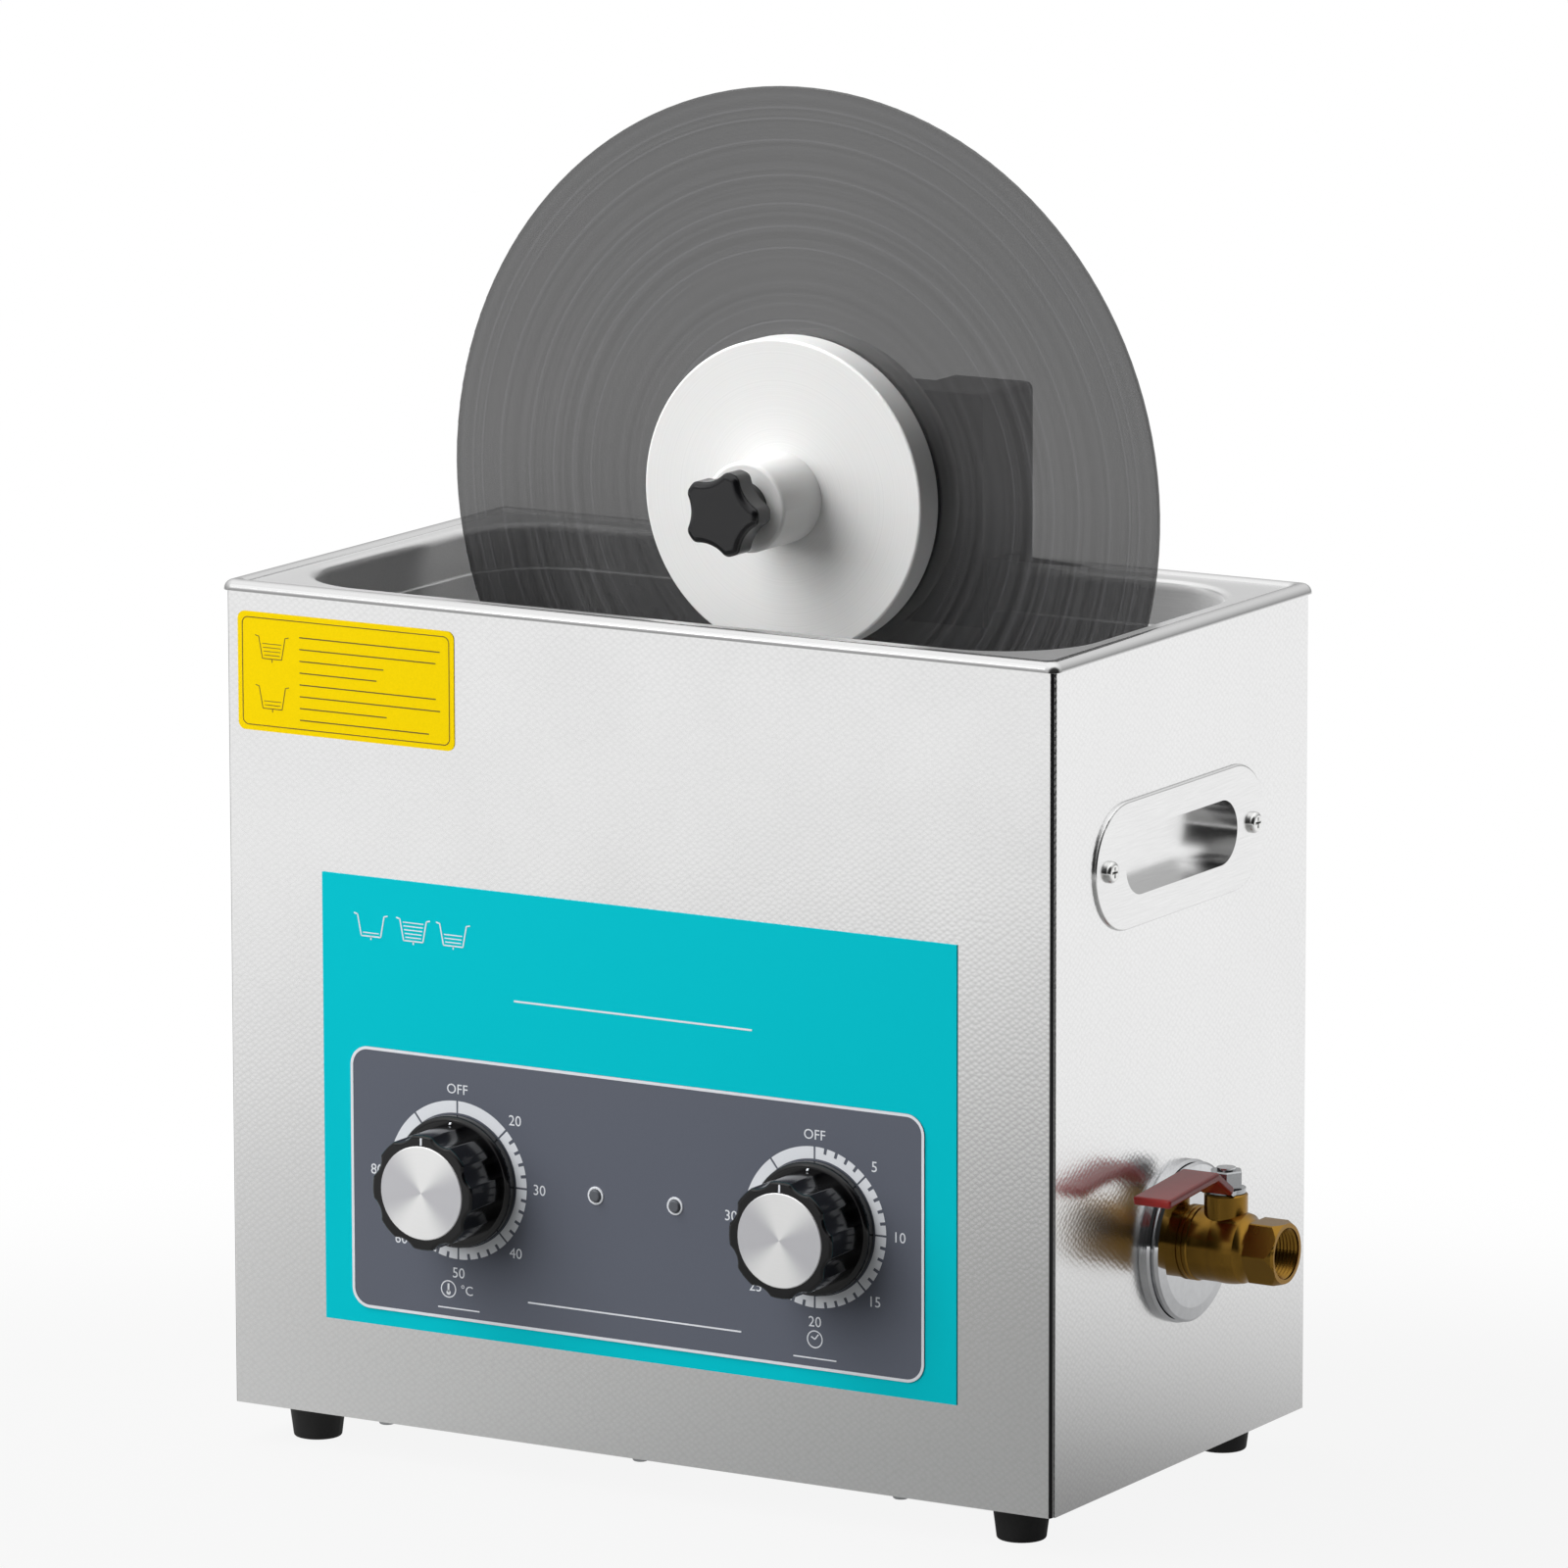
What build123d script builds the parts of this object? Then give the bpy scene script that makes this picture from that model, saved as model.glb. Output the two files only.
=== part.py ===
# Ultrasonic record cleaning machine: a heated steel tank with a motor-driven record holder on its rim.
# The origin is on the surface the feet stand on, under the middle of the case. The dials face -Y,
# the drain valve is on the +X side and +Z is up. All lengths are in millimetres.
from build123d import *
import os
from math import atan, cos, degrees, pi, radians, sin, sqrt, tan

os.makedirs("parts", exist_ok=True)

# case
case_width = 350.0
case_depth = 193.0
case_height = 309.0            # underside of the case to the underside of the tank flange
case_sheet = 0.8
return_width = 9.0             # sheet folded inwards along an edge
seam_step = 2.1                # the side sheets start this far behind the front and rear sheets
corner_bend = 1.2
base_sheet = 1.2
foot_height = 14.4
foot_top_radius = 11.0
foot_tip_radius = 9.0
foot_inset_x = 24.0
foot_inset_y = 20.5
foot_recess_radius = 4.0
foot_recess_depth = 5.0
foot_screw_radius = 2.0
foot_screw_head = 3.6
foot_screw_head_height = 2.4
base_screw_radius = 1.5
base_screw_head = 3.0
base_screw_head_height = 1.6
base_screw_span = 110.0
base_screw_round = 0.8
screw_tail = 3.0               # screw length past the sheet it holds
foot_round = 1.0
standoff_inset = 8.0
return_gap = 0.2               # between two folded returns
base_play = 0.2                # round the base plate
screw_fit = 0.15               # radial play round a screw
slip_fit = 0.1                 # radial play of a piece that turns or slides on a shaft
hang_gap = 0.3                 # play between the record holder and the top of the tank rim
hang_play = 0.6                # play between the record holder and the sides of the tank rim

# tank
rim_overhang = 1.5
bead_width = 7.6
bead_rise = 1.3                # the rolled edge stands this far above the flat flange
bead_corner = 4.6
bead_round = 3.7
bead_drop = 1.5                # the rolled edge reaches this far below the flange underside
skirt_sheet = 1.0
bead_crease = 1.0              # plan corner radius inside the rolled edge
tank_sheet = 1.0
mouth_length = 323.0
mouth_width = 161.0
mouth_corner = 36.0
lip_radius = 3.5
draw_depth = 17.0              # the upper band of the tank, above the pressed step
draw_step = 1.5
step_round = 0.9
tank_depth = 150.0
floor_radius = 12.0

# front panel graphics
overlay_length = 269.0
overlay_height = 168.5
overlay_bottom = 37.2
overlay_shift = 1.3            # its centre is this far right of the case's
overlay_sheet = 0.5
plate_length = 243.9
plate_height = 98.9
plate_corner = 7.5
plate_sheet = 0.4
plate_shift = 0.75
plate_bottom = 6.0
label_length = 94.0
label_height = 44.3
label_side_gap = 5.7
label_top_gap = 8.7
label_sheet = 0.3
label_corner = 3.0

# dials and lamps
dial_span = 152.0
dial_shift = 1.2
dial_height = 96.0
knob_skirt_radius = 24.8
knob_skirt_height = 4.0
knob_grip_radius = 21.6
knob_height = 24.2
knob_gap = 0.8
knob_flutes = 8
knob_flute_depth = 1.6
knob_cap_radius = 17.5
knob_cap_sheet = 1.0
dial_shaft_radius = 3.0
panel_hole_play = 1.0
film_hole_play = 0.6
knob_bore_depth = 15.0
shaft_reach = 20.0             # into the control behind the sheet
flute_radius = 8.0
flute_round = 1.2
knob_cap_proud = 0.3
thermostat_corner = 2.0
dial_body_depth = 30.0
thermostat_size = 38.0
timer_radius = 21.0
lamp_span = 33.8
lamp_shift = 1.5
lamp_height = 97.0
lamp_radius = 2.4
lamp_dome = 0.8
lamp_proud = 0.5
lamp_stub = 6.0

# side handles
handle_length = 128.0
handle_height = 47.0
handle_opening_length = 84.0
handle_opening_height = 24.0
handle_sheet = 1.2
handle_level = 229.5
handle_y = -3.7
handle_pocket = 10.0
handle_screw_span = 108.0
handle_screw_head = 4.0
handle_screw_radius = 1.9
handle_screw_head_height = 2.2
handle_screw_round = 1.5
handle_screw_length = 8.0
handle_edge_round = 0.8
cross_slot = 0.9

# drain
drain_level = 83.0
drain_floor_x = 126.0
drain_pipe_radius = 10.0
drain_pipe_bore = 7.5
drain_bend = 22.0
drain_flange_radius = 16.0
drain_flange_sheet = 3.0
escutcheon_radius = 30.0
escutcheon_depth = 6.0
escutcheon_bevel = 6.0
# distance from the case side and inset from the rim: a flat disc, a groove and a domed disc
escutcheon_steps = ((1.6, 0.0), (2.4, 1.0), (2.4, 2.4), (3.0, 2.4), (3.0, 1.2), (4.6, 0.6), (5.4, 1.6))
valve_reach = 43.0             # outlet face from the case side
valve_body_radius = 13.5
# distance past the escutcheon and step of the body's radius: two rings and a band
valve_steps = ((0.0, 0.3), (0.5, 0.3), (0.8, -0.2), (1.3, -0.2), (1.6, 0.3), (2.4, 0.3), (2.8, -0.2),
               (10.8, -0.2))
belly_fall = 0.8
throat_length = 4.0
throat_turn = 0.4              # share of the throat's length at its waist point
throat_rise = 0.3              # share of its fall that is left there
hex_lap = 1.0                  # the turned body runs this far into the hexagon
neck_radius = 10.9
hex_round = 1.2
hex_bevel = 30.0               # degrees from the axis, on the corners at the outlet
boss_bevel = 0.6
outlet_bevel = 0.8
valve_hex = 22.2               # across flats
valve_hex_length = 12.0
outlet_bore_radius = 9.5
outlet_bore_depth = 11.0
stem_offset = 18.0             # stem axis from the case side
stem_boss_radius = 8.0
stem_boss_height = 20.0
ball_radius = 10.0
ball_bore_radius = 6.0
ball_gap = 0.3
stem_radius = 3.5
stem_proud = 1.0
stem_seat = 1.0                # the stem enters the ball this far above its bore
lever_width = 12.5
lever_sheet = 1.6
lever_rise = 9.0
lever_length = 55.0
lever_bend = 6.0               # the climb starts this far from the stem
lever_top = 20.0               # and ends this far from it
lever_fall = 3.0
lever_eye = 1.0                # the round end is this much larger than half the lever's width
sleeve_start = 0.15            # share of the climbing stretch left bare
sleeve_end = 1.5
sleeve_width = 15.4
sleeve_thickness = 3.4
sleeve_round = 1.2
lever_nut_across = 11.0
lever_nut_height = 6.5
lever_nut_bevel = 0.5

# under the tank
transducer_spots = ((-90.0, -38.0), (-90.0, 38.0), (20.0, -38.0), (20.0, 38.0))
horn_top_radius = 27.0
horn_bottom_radius = 20.0
horn_height = 28.0
piezo_radius = 19.0
piezo_bore = 7.0
piezo_height = 10.0
back_mass_radius = 18.0
back_mass_height = 18.0
transducer_bolt_radius = 6.0
transducer_bolt_head = 6.0
heater_pad_length = 200.0
heater_pad_height = 70.0
heater_pad_sheet = 3.0
heater_pad_corner = 6.0
board_length = 150.0
board_width = 90.0
board_sheet = 1.6
board_x = -20.0
standoff_height = 8.0
standoff_radius = 3.0
coil_radius = 12.0
coil_bore = 6.0
coil_height = 14.0
coil_spots = ((-18.0, -24.0), (12.0, 22.0))
capacitor_radius = 9.0
capacitor_height = 24.0
capacitor_span = 22.0
capacitor_x = 22.0
capacitor_y = -22.0
transformer_length = 36.0
transformer_width = 32.0
transformer_height = 30.0
transformer_x = -20.0
transformer_y = 18.0
sink_thickness = 12.0
sink_length = 70.0
sink_height = 34.0
sink_inset = 16.0
sink_slots = 6
sink_slot_width = 5.0
sink_slot_height = 26.0
fan_size = 80.0
fan_depth = 25.0
fan_bore_radius = 38.0
fan_hub_radius = 18.0
fan_blades = 7
fan_corner = 4.0
fan_tip_gap = 1.2
fan_arm = 5.0
fan_web = 2.0
fan_run_gap = 0.6
fan_pin_radius = 1.5
rotor_depth = 20.0
rotor_round = 2.0
blade_chord = 21.0
blade_sheet = 1.6
blade_pitch = 38.0             # degrees from the plane of rotation
blade_root = 2.0               # the blades start this far inside the hub
fan_x = -90.0
fan_level = 56.0
fan_screw_span = 71.5
grille_pitch = 8.0
grille_hole_radius = 2.5
inlet_x = 96.0
inlet_level = 60.0
inlet_length = 27.0
inlet_height = 20.0
inlet_depth = 24.0
inlet_face_sheet = 3.0
inlet_screw_span = 40.0
inlet_ear = 5.0
inlet_face_height = 28.0
inlet_face_corner = 5.0
inlet_edge_round = 1.0
inlet_socket_length = 23.0
inlet_socket_height = 16.0
inlet_socket_depth = 18.0
inlet_socket_bevel = 5.0
contact_spots = ((-7.0, -1.5), (0.0, 2.0), (7.0, -1.5))
contact_width = 2.0
contact_height = 4.0
contact_length = 11.0
rear_screw_radius = 1.6
rear_screw_head = 3.2
rear_screw_head_height = 2.2
rear_screw_length = 12.0

# record holder
record_radius = 150.8
record_thickness = 2.0
record_hole_radius = 3.62
record_edge_round = 0.8
record_y = 34.0
spindle_x = -5.0
spindle_over_rim = 27.6        # spindle axis above the bracket's seat on the rim
spindle_radius = 6.0
record_pin_radius = 3.5
shoulder_depth = 2.0           # the thick part of the spindle starts this far inside the rear disc
clamp_disc_radius = 59.0
clamp_disc_thickness = 13.7
hub_radius = 17.0
hub_length = 27.0
clamp_gap = 0.1                # between the front disc and the record
disc_round = 1.0
hub_round = 1.5
star_neck_radius = 10.0
star_neck_length = 8.0
star_head_length = 10.5
star_lobes = 5
star_tip_radius = 16.0
star_web_reach = 12.6          # the hollows between the lobes come this near the axis
star_hollow_radius = 14.0
star_gap = 0.2
thread_radius = 2.9
thread_length = 14.0
thread_end_gap = 0.5
star_lobe_round = 3.2
star_head_round = 2.5
bracket_left = 36.0            # from the spindle axis
bracket_right = 54.0
bracket_top = 35.0
jaw_thickness = 4.0
jaw_drop = 52.6                # from the spindle axis
lip_drop = 87.0
lip_height = 15.0
lip_relief = 5.4
flange_thickness = 13.4
notch_left = 13.0
notch_right = 21.0
notch_floor = 11.0             # above the spindle axis
bracket_screw_x = 4.0          # the first screw, from the spindle axis
bracket_screw_span = 21.0
bracket_screw_recess = 4.0
bracket_screw_head_height = 2.4
hex_key_radius = 1.4
relief_corner = 4.0
bracket_left_round = 1.5
bracket_right_round = 3.0
flange_round = 4.0
bracket_screw_drop = 14.5
bracket_screw_radius = 1.5
bracket_screw_head = 2.75
bush_radius = 8.0
bush_flange_radius = 10.0
bush_flange = 1.0
spindle_fit = 0.05             # radial play of the spindle in its bush
box_left = 29.0
box_width = 60.0
box_depth = 31.0
box_top = 27.0
box_wall = 2.0
post_size = 5.5
cover_screw_radius = 1.05
cover_screw_head = 2.2
cover_screw_head_height = 1.4
cover_screw_length = 10.0
cover_screw_bore = 9.0
cover_screw_slot = 0.6
cover_round = 0.8
gear_module = 0.8
spindle_gear_teeth = 44
pinion_teeth = 16
gear_width = 5.0
gear_backlash = 0.16
pressure_angle = 20.0
gear_addendum = 0.9            # of one module
gear_dedendum = 1.25
flank_steps = 4
gear_side_gap = 0.8
gear_seat_radius = 4.0
motor_radius = 13.0
motor_boss_radius = 4.0
motor_plate_sheet = 2.0
motor_plate_height = 62.0
motor_plate_play = 0.5
pinion_shaft_radius = 1.5
pinion_shaft_depth = 6.0
grommet_radius = 4.5
grommet_shank = 3.3
grommet_length = 6.0
grommet_round = 1.5
grommet_x = -14.0              # from the spindle axis
lead_radius = 1.75
lead_bend_share = 0.45         # of a stretch, taken by the bend at its end
socket_radius = 4.5
socket_length = 34.0
socket_neck_length = 11.0
socket_neck_wall = 0.9
socket_round = 0.6
socket_bore_radius = 2.75
socket_bore_depth = 9.0
socket_pin_radius = 1.0

# levels worked out from the above
half_width = case_width / 2
half_depth = case_depth / 2
base_z = foot_height
flange_under_z = base_z + case_height
flange_z = flange_under_z + tank_sheet
bead_z = flange_z + bead_rise
tank_floor_z = flange_z - tank_depth
tank_under_z = tank_floor_z - tank_sheet
base_plate_z = base_z + case_sheet
base_top_z = base_plate_z + base_sheet
rim_length = case_width + 2 * rim_overhang
rim_width = case_depth + 2 * rim_overhang
front_y = -half_depth
dial_z = base_z + dial_height
lamp_z = base_z + lamp_height
drain_z = base_z + drain_level
handle_z = base_z + handle_level
board_top_z = base_top_z + standoff_height + board_sheet
spindle_z = bead_z + hang_gap + spindle_over_rim
record_front_y = record_y - record_thickness / 2
record_back_y = record_y + record_thickness / 2
front_disc_y = record_front_y - clamp_gap
rear_disc_y = record_back_y
hub_front_y = front_disc_y - clamp_disc_thickness - hub_length
slot_front_y = mouth_width / 2 - draw_step - hang_play
slot_back_y = rim_width / 2 + hang_play
jaw_front_y = slot_front_y - jaw_thickness
bracket_back_y = slot_back_y + flange_thickness
box_back_y = bracket_back_y + box_depth
gear_y = bracket_back_y + box_wall + gear_side_gap
lower_length = mouth_length - 2 * draw_step
lower_width = mouth_width - 2 * draw_step
lower_corner = mouth_corner - draw_step
draw_z = flange_z - draw_depth

front_plane = Plane(origin=(0, front_y, 0), x_dir=(1, 0, 0), z_dir=(0, -1, 0))
rear_plane = Plane(origin=(0, half_depth, 0), x_dir=(-1, 0, 0), z_dir=(0, 1, 0))
CENTRE_LOW = (Align.CENTER, Align.MIN)


# label a finished piece and write it under its node name
def finish(part, name):
    part.label = name
    export_step(part, f"parts/{name}.step")


# edges round the opening of the level face at one height
def hole_edges(piece, level):
    level_faces = piece.faces().filter_by(Axis.Z).filter_by_position(Axis.Z, level - 0.01, level + 0.01)
    return level_faces.sort_by(SortBy.AREA)[-1].inner_wires()[0].edges()


# sketch planes that face the front, the back and a side, each with its local Y upwards
def facing_front(x, y, z):
    return Plane(origin=(x, y, z), x_dir=(1, 0, 0), z_dir=(0, -1, 0))


def facing_back(x, y, z):
    return Plane(origin=(x, y, z), x_dir=(-1, 0, 0), z_dir=(0, 1, 0))


def facing_side(side, x, y, z):
    return Plane(origin=(x, y, z), x_dir=(0, side, 0), z_dir=(side, 0, 0))


# front and rear sheets: shallow trays folded inwards on all four edges
tray_width = case_width - 2 * case_sheet
base_screw_row = half_depth - return_width / 2
base_screw_xs = (-base_screw_span, 0.0, base_screw_span)
grille_steps = int(fan_bore_radius / grille_pitch)
grille_spots = [
    (-fan_x + i * grille_pitch, base_z + fan_level + k * grille_pitch)
    for i in range(-grille_steps, grille_steps + 1)
    for k in range(-grille_steps, grille_steps + 1)
    if grille_pitch * sqrt(i * i + k * k) < fan_bore_radius - grille_hole_radius
]
fan_screw_spots = [
    (-fan_x + i * fan_screw_span / 2, base_z + fan_level + k * fan_screw_span / 2)
    for i in (-1, 1) for k in (-1, 1)
]
inlet_screw_spots = [(-inlet_x + i * inlet_screw_span / 2, base_z + inlet_level) for i in (-1, 1)]
rear_screw_spots = fan_screw_spots + inlet_screw_spots
dial_xs = (dial_shift - dial_span / 2, dial_shift + dial_span / 2)
lamp_xs = (lamp_shift - lamp_span / 2, lamp_shift + lamp_span / 2)
panel_hole_radius = dial_shaft_radius + panel_hole_play

for plane, outward, name in ((front_plane, -1, "front_panel"), (rear_plane, 1, "rear_panel")):
    with BuildPart() as panel:
        with BuildSketch(plane):
            with Locations((0, base_z)):
                Rectangle(tray_width, case_height, align=CENTRE_LOW)
        extrude(amount=-return_width)
        outer_corners = panel.edges().filter_by(Axis.Z).filter_by_position(
            Axis.Y, outward * half_depth - 0.01, outward * half_depth + 0.01)
        fillet(outer_corners, corner_bend)
        with BuildSketch(plane.offset(-case_sheet)):
            with Locations((0, base_z + case_sheet)):
                Rectangle(tray_width - 2 * case_sheet, case_height - 2 * case_sheet, align=CENTRE_LOW)
        extrude(amount=-return_width, mode=Mode.SUBTRACT)
        with BuildSketch(Plane.XY.offset(base_z)):
            with Locations([(x, outward * base_screw_row) for x in base_screw_xs]):
                Circle(base_screw_radius + screw_fit)
        extrude(amount=case_sheet, mode=Mode.SUBTRACT)
        with BuildSketch(plane):
            if name == "front_panel":
                with Locations([(x, dial_z) for x in dial_xs]):
                    Circle(panel_hole_radius)
                with Locations([(x, lamp_z) for x in lamp_xs]):
                    Circle(lamp_radius + screw_fit)
            else:
                with Locations(grille_spots):
                    Circle(grille_hole_radius)
                with Locations(rear_screw_spots):
                    Circle(rear_screw_radius + screw_fit)
                with Locations((-inlet_x, base_z + inlet_level)):
                    Rectangle(inlet_length + 2 * screw_fit, inlet_height + 2 * screw_fit)
        extrude(amount=-case_sheet, mode=Mode.SUBTRACT)
    finish(panel.part, name)

# side sheets: channels that sit behind the ends of the front and rear sheets
side_length = case_depth - 2 * seam_step
side_return_length = case_depth - 2 * (return_width + return_gap)
handle_cut_length = handle_opening_length + 2 * handle_sheet + 2 * screw_fit
handle_cut_height = handle_opening_height + 2 * handle_sheet + 2 * screw_fit
handle_screw_spots = {
    side: [(side * handle_y + i * handle_screw_span / 2, handle_z) for i in (-1, 1)] for side in (-1, 1)
}

for side, name in ((-1, "left_side_panel"), (1, "right_side_panel")):
    with BuildPart() as side_panel:
        outside = facing_side(side, side * half_width, 0, 0)
        with BuildSketch(outside):
            with Locations((0, base_z)):
                Rectangle(side_length, case_height, align=CENTRE_LOW)
        extrude(amount=-case_sheet)
        for level in (base_z, flange_under_z - case_sheet):
            with BuildSketch(Plane.XY.offset(level)):
                with Locations((side * (half_width - return_width / 2), 0)):
                    Rectangle(return_width, side_return_length)
            extrude(amount=case_sheet)
        with BuildSketch(outside):
            with Locations((side * handle_y, handle_z)):
                SlotOverall(handle_cut_length, handle_cut_height)
            with Locations(handle_screw_spots[side]):
                Circle(handle_screw_radius + screw_fit)
            if name == "right_side_panel":
                with Locations((0, drain_z)):
                    Circle(drain_pipe_radius + screw_fit)
        extrude(amount=-case_sheet, mode=Mode.SUBTRACT)
    finish(side_panel.part, name)

# base plate with pressed-in standoffs on the folded returns, its screws, feet and foot screws
base_length = case_width - 4 * case_sheet - base_play
base_width = case_depth - 2 * case_sheet - base_play
foot_spots = [
    (i * (half_width - foot_inset_x), k * (half_depth - foot_inset_y)) for i in (-1, 1) for k in (-1, 1)
]
base_screw_spots = [(x, k * base_screw_row) for x in base_screw_xs for k in (-1, 1)]
standoff_spots = [
    (board_x + i * (board_length / 2 - standoff_inset), k * (board_width / 2 - standoff_inset))
    for i in (-1, 1) for k in (-1, 1)
]

with BuildPart() as base_plate:
    with BuildSketch(Plane.XY.offset(base_plate_z)):
        Rectangle(base_length, base_width)
        with Locations(base_screw_spots):
            Circle(base_screw_radius + screw_fit, mode=Mode.SUBTRACT)
        with Locations(foot_spots):
            Circle(foot_screw_radius + screw_fit, mode=Mode.SUBTRACT)
    extrude(amount=base_sheet)
    with BuildSketch(Plane.XY.offset(base_top_z)):
        with Locations(standoff_spots):
            Circle(standoff_radius)
    extrude(amount=standoff_height)
finish(base_plate.part, "base_plate")

with BuildPart() as base_screws:
    with BuildSketch(Plane.XY.offset(base_z)):
        with Locations(base_screw_spots):
            Circle(base_screw_head)
    extrude(amount=-base_screw_head_height)
    fillet(base_screws.faces().group_by(Axis.Z)[0].edges(), base_screw_round)
    with BuildSketch(Plane.XY.offset(base_z)):
        with Locations(base_screw_spots):
            Circle(base_screw_radius)
    extrude(amount=case_sheet + base_sheet + screw_tail)
finish(base_screws.part, "base_screws")

with BuildPart() as feet:
    with BuildSketch(Plane.XY.offset(base_plate_z)):
        with Locations(foot_spots):
            Circle(foot_top_radius)
    foot_draft = degrees(atan((foot_top_radius - foot_tip_radius) / base_plate_z))
    extrude(amount=-base_plate_z, taper=foot_draft)
    fillet(feet.faces().group_by(Axis.Z)[0].edges(), foot_round)
    with BuildSketch(Plane.XY):
        with Locations(foot_spots):
            Circle(foot_recess_radius)
    extrude(amount=foot_recess_depth, mode=Mode.SUBTRACT)
    with BuildSketch(Plane.XY.offset(foot_recess_depth)):
        with Locations(foot_spots):
            Circle(foot_screw_radius)
    extrude(amount=base_plate_z - foot_recess_depth, mode=Mode.SUBTRACT)
finish(feet.part, "feet")

with BuildPart() as foot_screws:
    with BuildSketch(Plane.XY.offset(foot_recess_depth)):
        with Locations(foot_spots):
            Circle(foot_screw_head)
    extrude(amount=-foot_screw_head_height)
    with BuildSketch(Plane.XY.offset(foot_recess_depth)):
        with Locations(foot_spots):
            Circle(foot_screw_radius)
    extrude(amount=base_top_z + screw_tail - foot_recess_depth)
finish(foot_screws.part, "foot_screws")

# pressed tank: rolled edge, flat flange, lip, upper band, pressed step, walls and floor
bead_bottom_z = flange_under_z - bead_drop
crease_length = rim_length - 2 * bead_width
crease_width = rim_width - 2 * bead_width

with BuildPart() as bath:
    with BuildSketch(Plane.XY.offset(tank_floor_z)):
        RectangleRounded(lower_length, lower_width, lower_corner)
    extrude(amount=draw_z - tank_floor_z)
    fillet(bath.faces().sort_by(Axis.Z)[0].edges(), floor_radius)
    with BuildSketch(Plane.XY.offset(draw_z)):
        RectangleRounded(mouth_length, mouth_width, mouth_corner)
    extrude(amount=flange_z - draw_z)

with BuildPart() as tank:
    with BuildSketch(Plane.XY.offset(bead_bottom_z)):
        RectangleRounded(rim_length, rim_width, bead_corner)
        RectangleRounded(crease_length, crease_width, bead_crease, mode=Mode.SUBTRACT)
    extrude(amount=bead_z - bead_bottom_z)
    fillet(tank.faces().sort_by(Axis.Z)[-1].edges(), bead_round)
    with BuildSketch(Plane.XY.offset(bead_bottom_z)):
        RectangleRounded(rim_length - 2 * skirt_sheet, rim_width - 2 * skirt_sheet,
                         bead_corner - skirt_sheet)
    extrude(amount=bead_drop, mode=Mode.SUBTRACT)
    with BuildSketch(Plane.XY.offset(flange_under_z)):
        RectangleRounded(crease_length + bead_width, crease_width + bead_width, bead_crease)
    extrude(amount=tank_sheet)
    with BuildSketch(Plane.XY.offset(draw_z - tank_sheet)):
        RectangleRounded(mouth_length + 2 * tank_sheet, mouth_width + 2 * tank_sheet,
                         mouth_corner + tank_sheet)
    extrude(amount=flange_under_z - draw_z + tank_sheet)
    fillet(hole_edges(tank, flange_under_z), lip_radius - tank_sheet)
    with BuildSketch(Plane.XY.offset(tank_under_z)):
        RectangleRounded(lower_length + 2 * tank_sheet, lower_width + 2 * tank_sheet,
                         lower_corner + tank_sheet)
    extrude(amount=draw_z - tank_sheet - tank_under_z)
    fillet(tank.faces().sort_by(Axis.Z)[0].edges(), floor_radius + tank_sheet)
    add(bath.part, mode=Mode.SUBTRACT)
    fillet(hole_edges(tank, draw_z), step_round)
    fillet(hole_edges(tank, flange_z), lip_radius)
    with BuildSketch(Plane.XY.offset(tank_under_z)):
        with Locations((drain_floor_x, 0)):
            Circle(drain_pipe_radius)
    extrude(amount=tank_sheet, mode=Mode.SUBTRACT)
finish(tank.part, "tank")

# printed films on the front: the coloured overlay, the dial plate on it and the yellow label
overlay_y = front_y - overlay_sheet
plate_y = overlay_y - plate_sheet
overlay_z = base_z + overlay_bottom
plate_z = overlay_z + plate_bottom
label_x = -half_width + label_side_gap + label_length / 2
label_z = flange_under_z - label_top_gap - label_height / 2
film_hole_radius = dial_shaft_radius + film_hole_play

with BuildPart() as control_overlay:
    with BuildSketch(front_plane):
        with Locations((overlay_shift, overlay_z)):
            Rectangle(overlay_length, overlay_height, align=CENTRE_LOW)
        with Locations([(x, dial_z) for x in dial_xs]):
            Circle(film_hole_radius, mode=Mode.SUBTRACT)
        with Locations([(x, lamp_z) for x in lamp_xs]):
            Circle(lamp_radius + screw_fit, mode=Mode.SUBTRACT)
    extrude(amount=overlay_sheet)
finish(control_overlay.part, "control_overlay")

with BuildPart() as dial_plate:
    with BuildSketch(front_plane.offset(overlay_sheet)):
        with Locations((plate_shift, plate_z + plate_height / 2)):
            RectangleRounded(plate_length, plate_height, plate_corner)
        with Locations([(x, dial_z) for x in dial_xs]):
            Circle(film_hole_radius, mode=Mode.SUBTRACT)
        with Locations([(x, lamp_z) for x in lamp_xs]):
            Circle(lamp_radius + screw_fit, mode=Mode.SUBTRACT)
    extrude(amount=plate_sheet)
finish(dial_plate.part, "dial_plate")

with BuildPart() as fill_label:
    with BuildSketch(front_plane):
        with Locations((label_x, label_z)):
            RectangleRounded(label_length, label_height, label_corner)
    extrude(amount=label_sheet)
finish(fill_label.part, "fill_label")

# two fluted knobs, each with a spun cap and a shaft that runs back into its own control
knob_back_y = plate_y - knob_gap
knob_front_y = knob_back_y - knob_height
body_front_y = front_y + case_sheet

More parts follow.
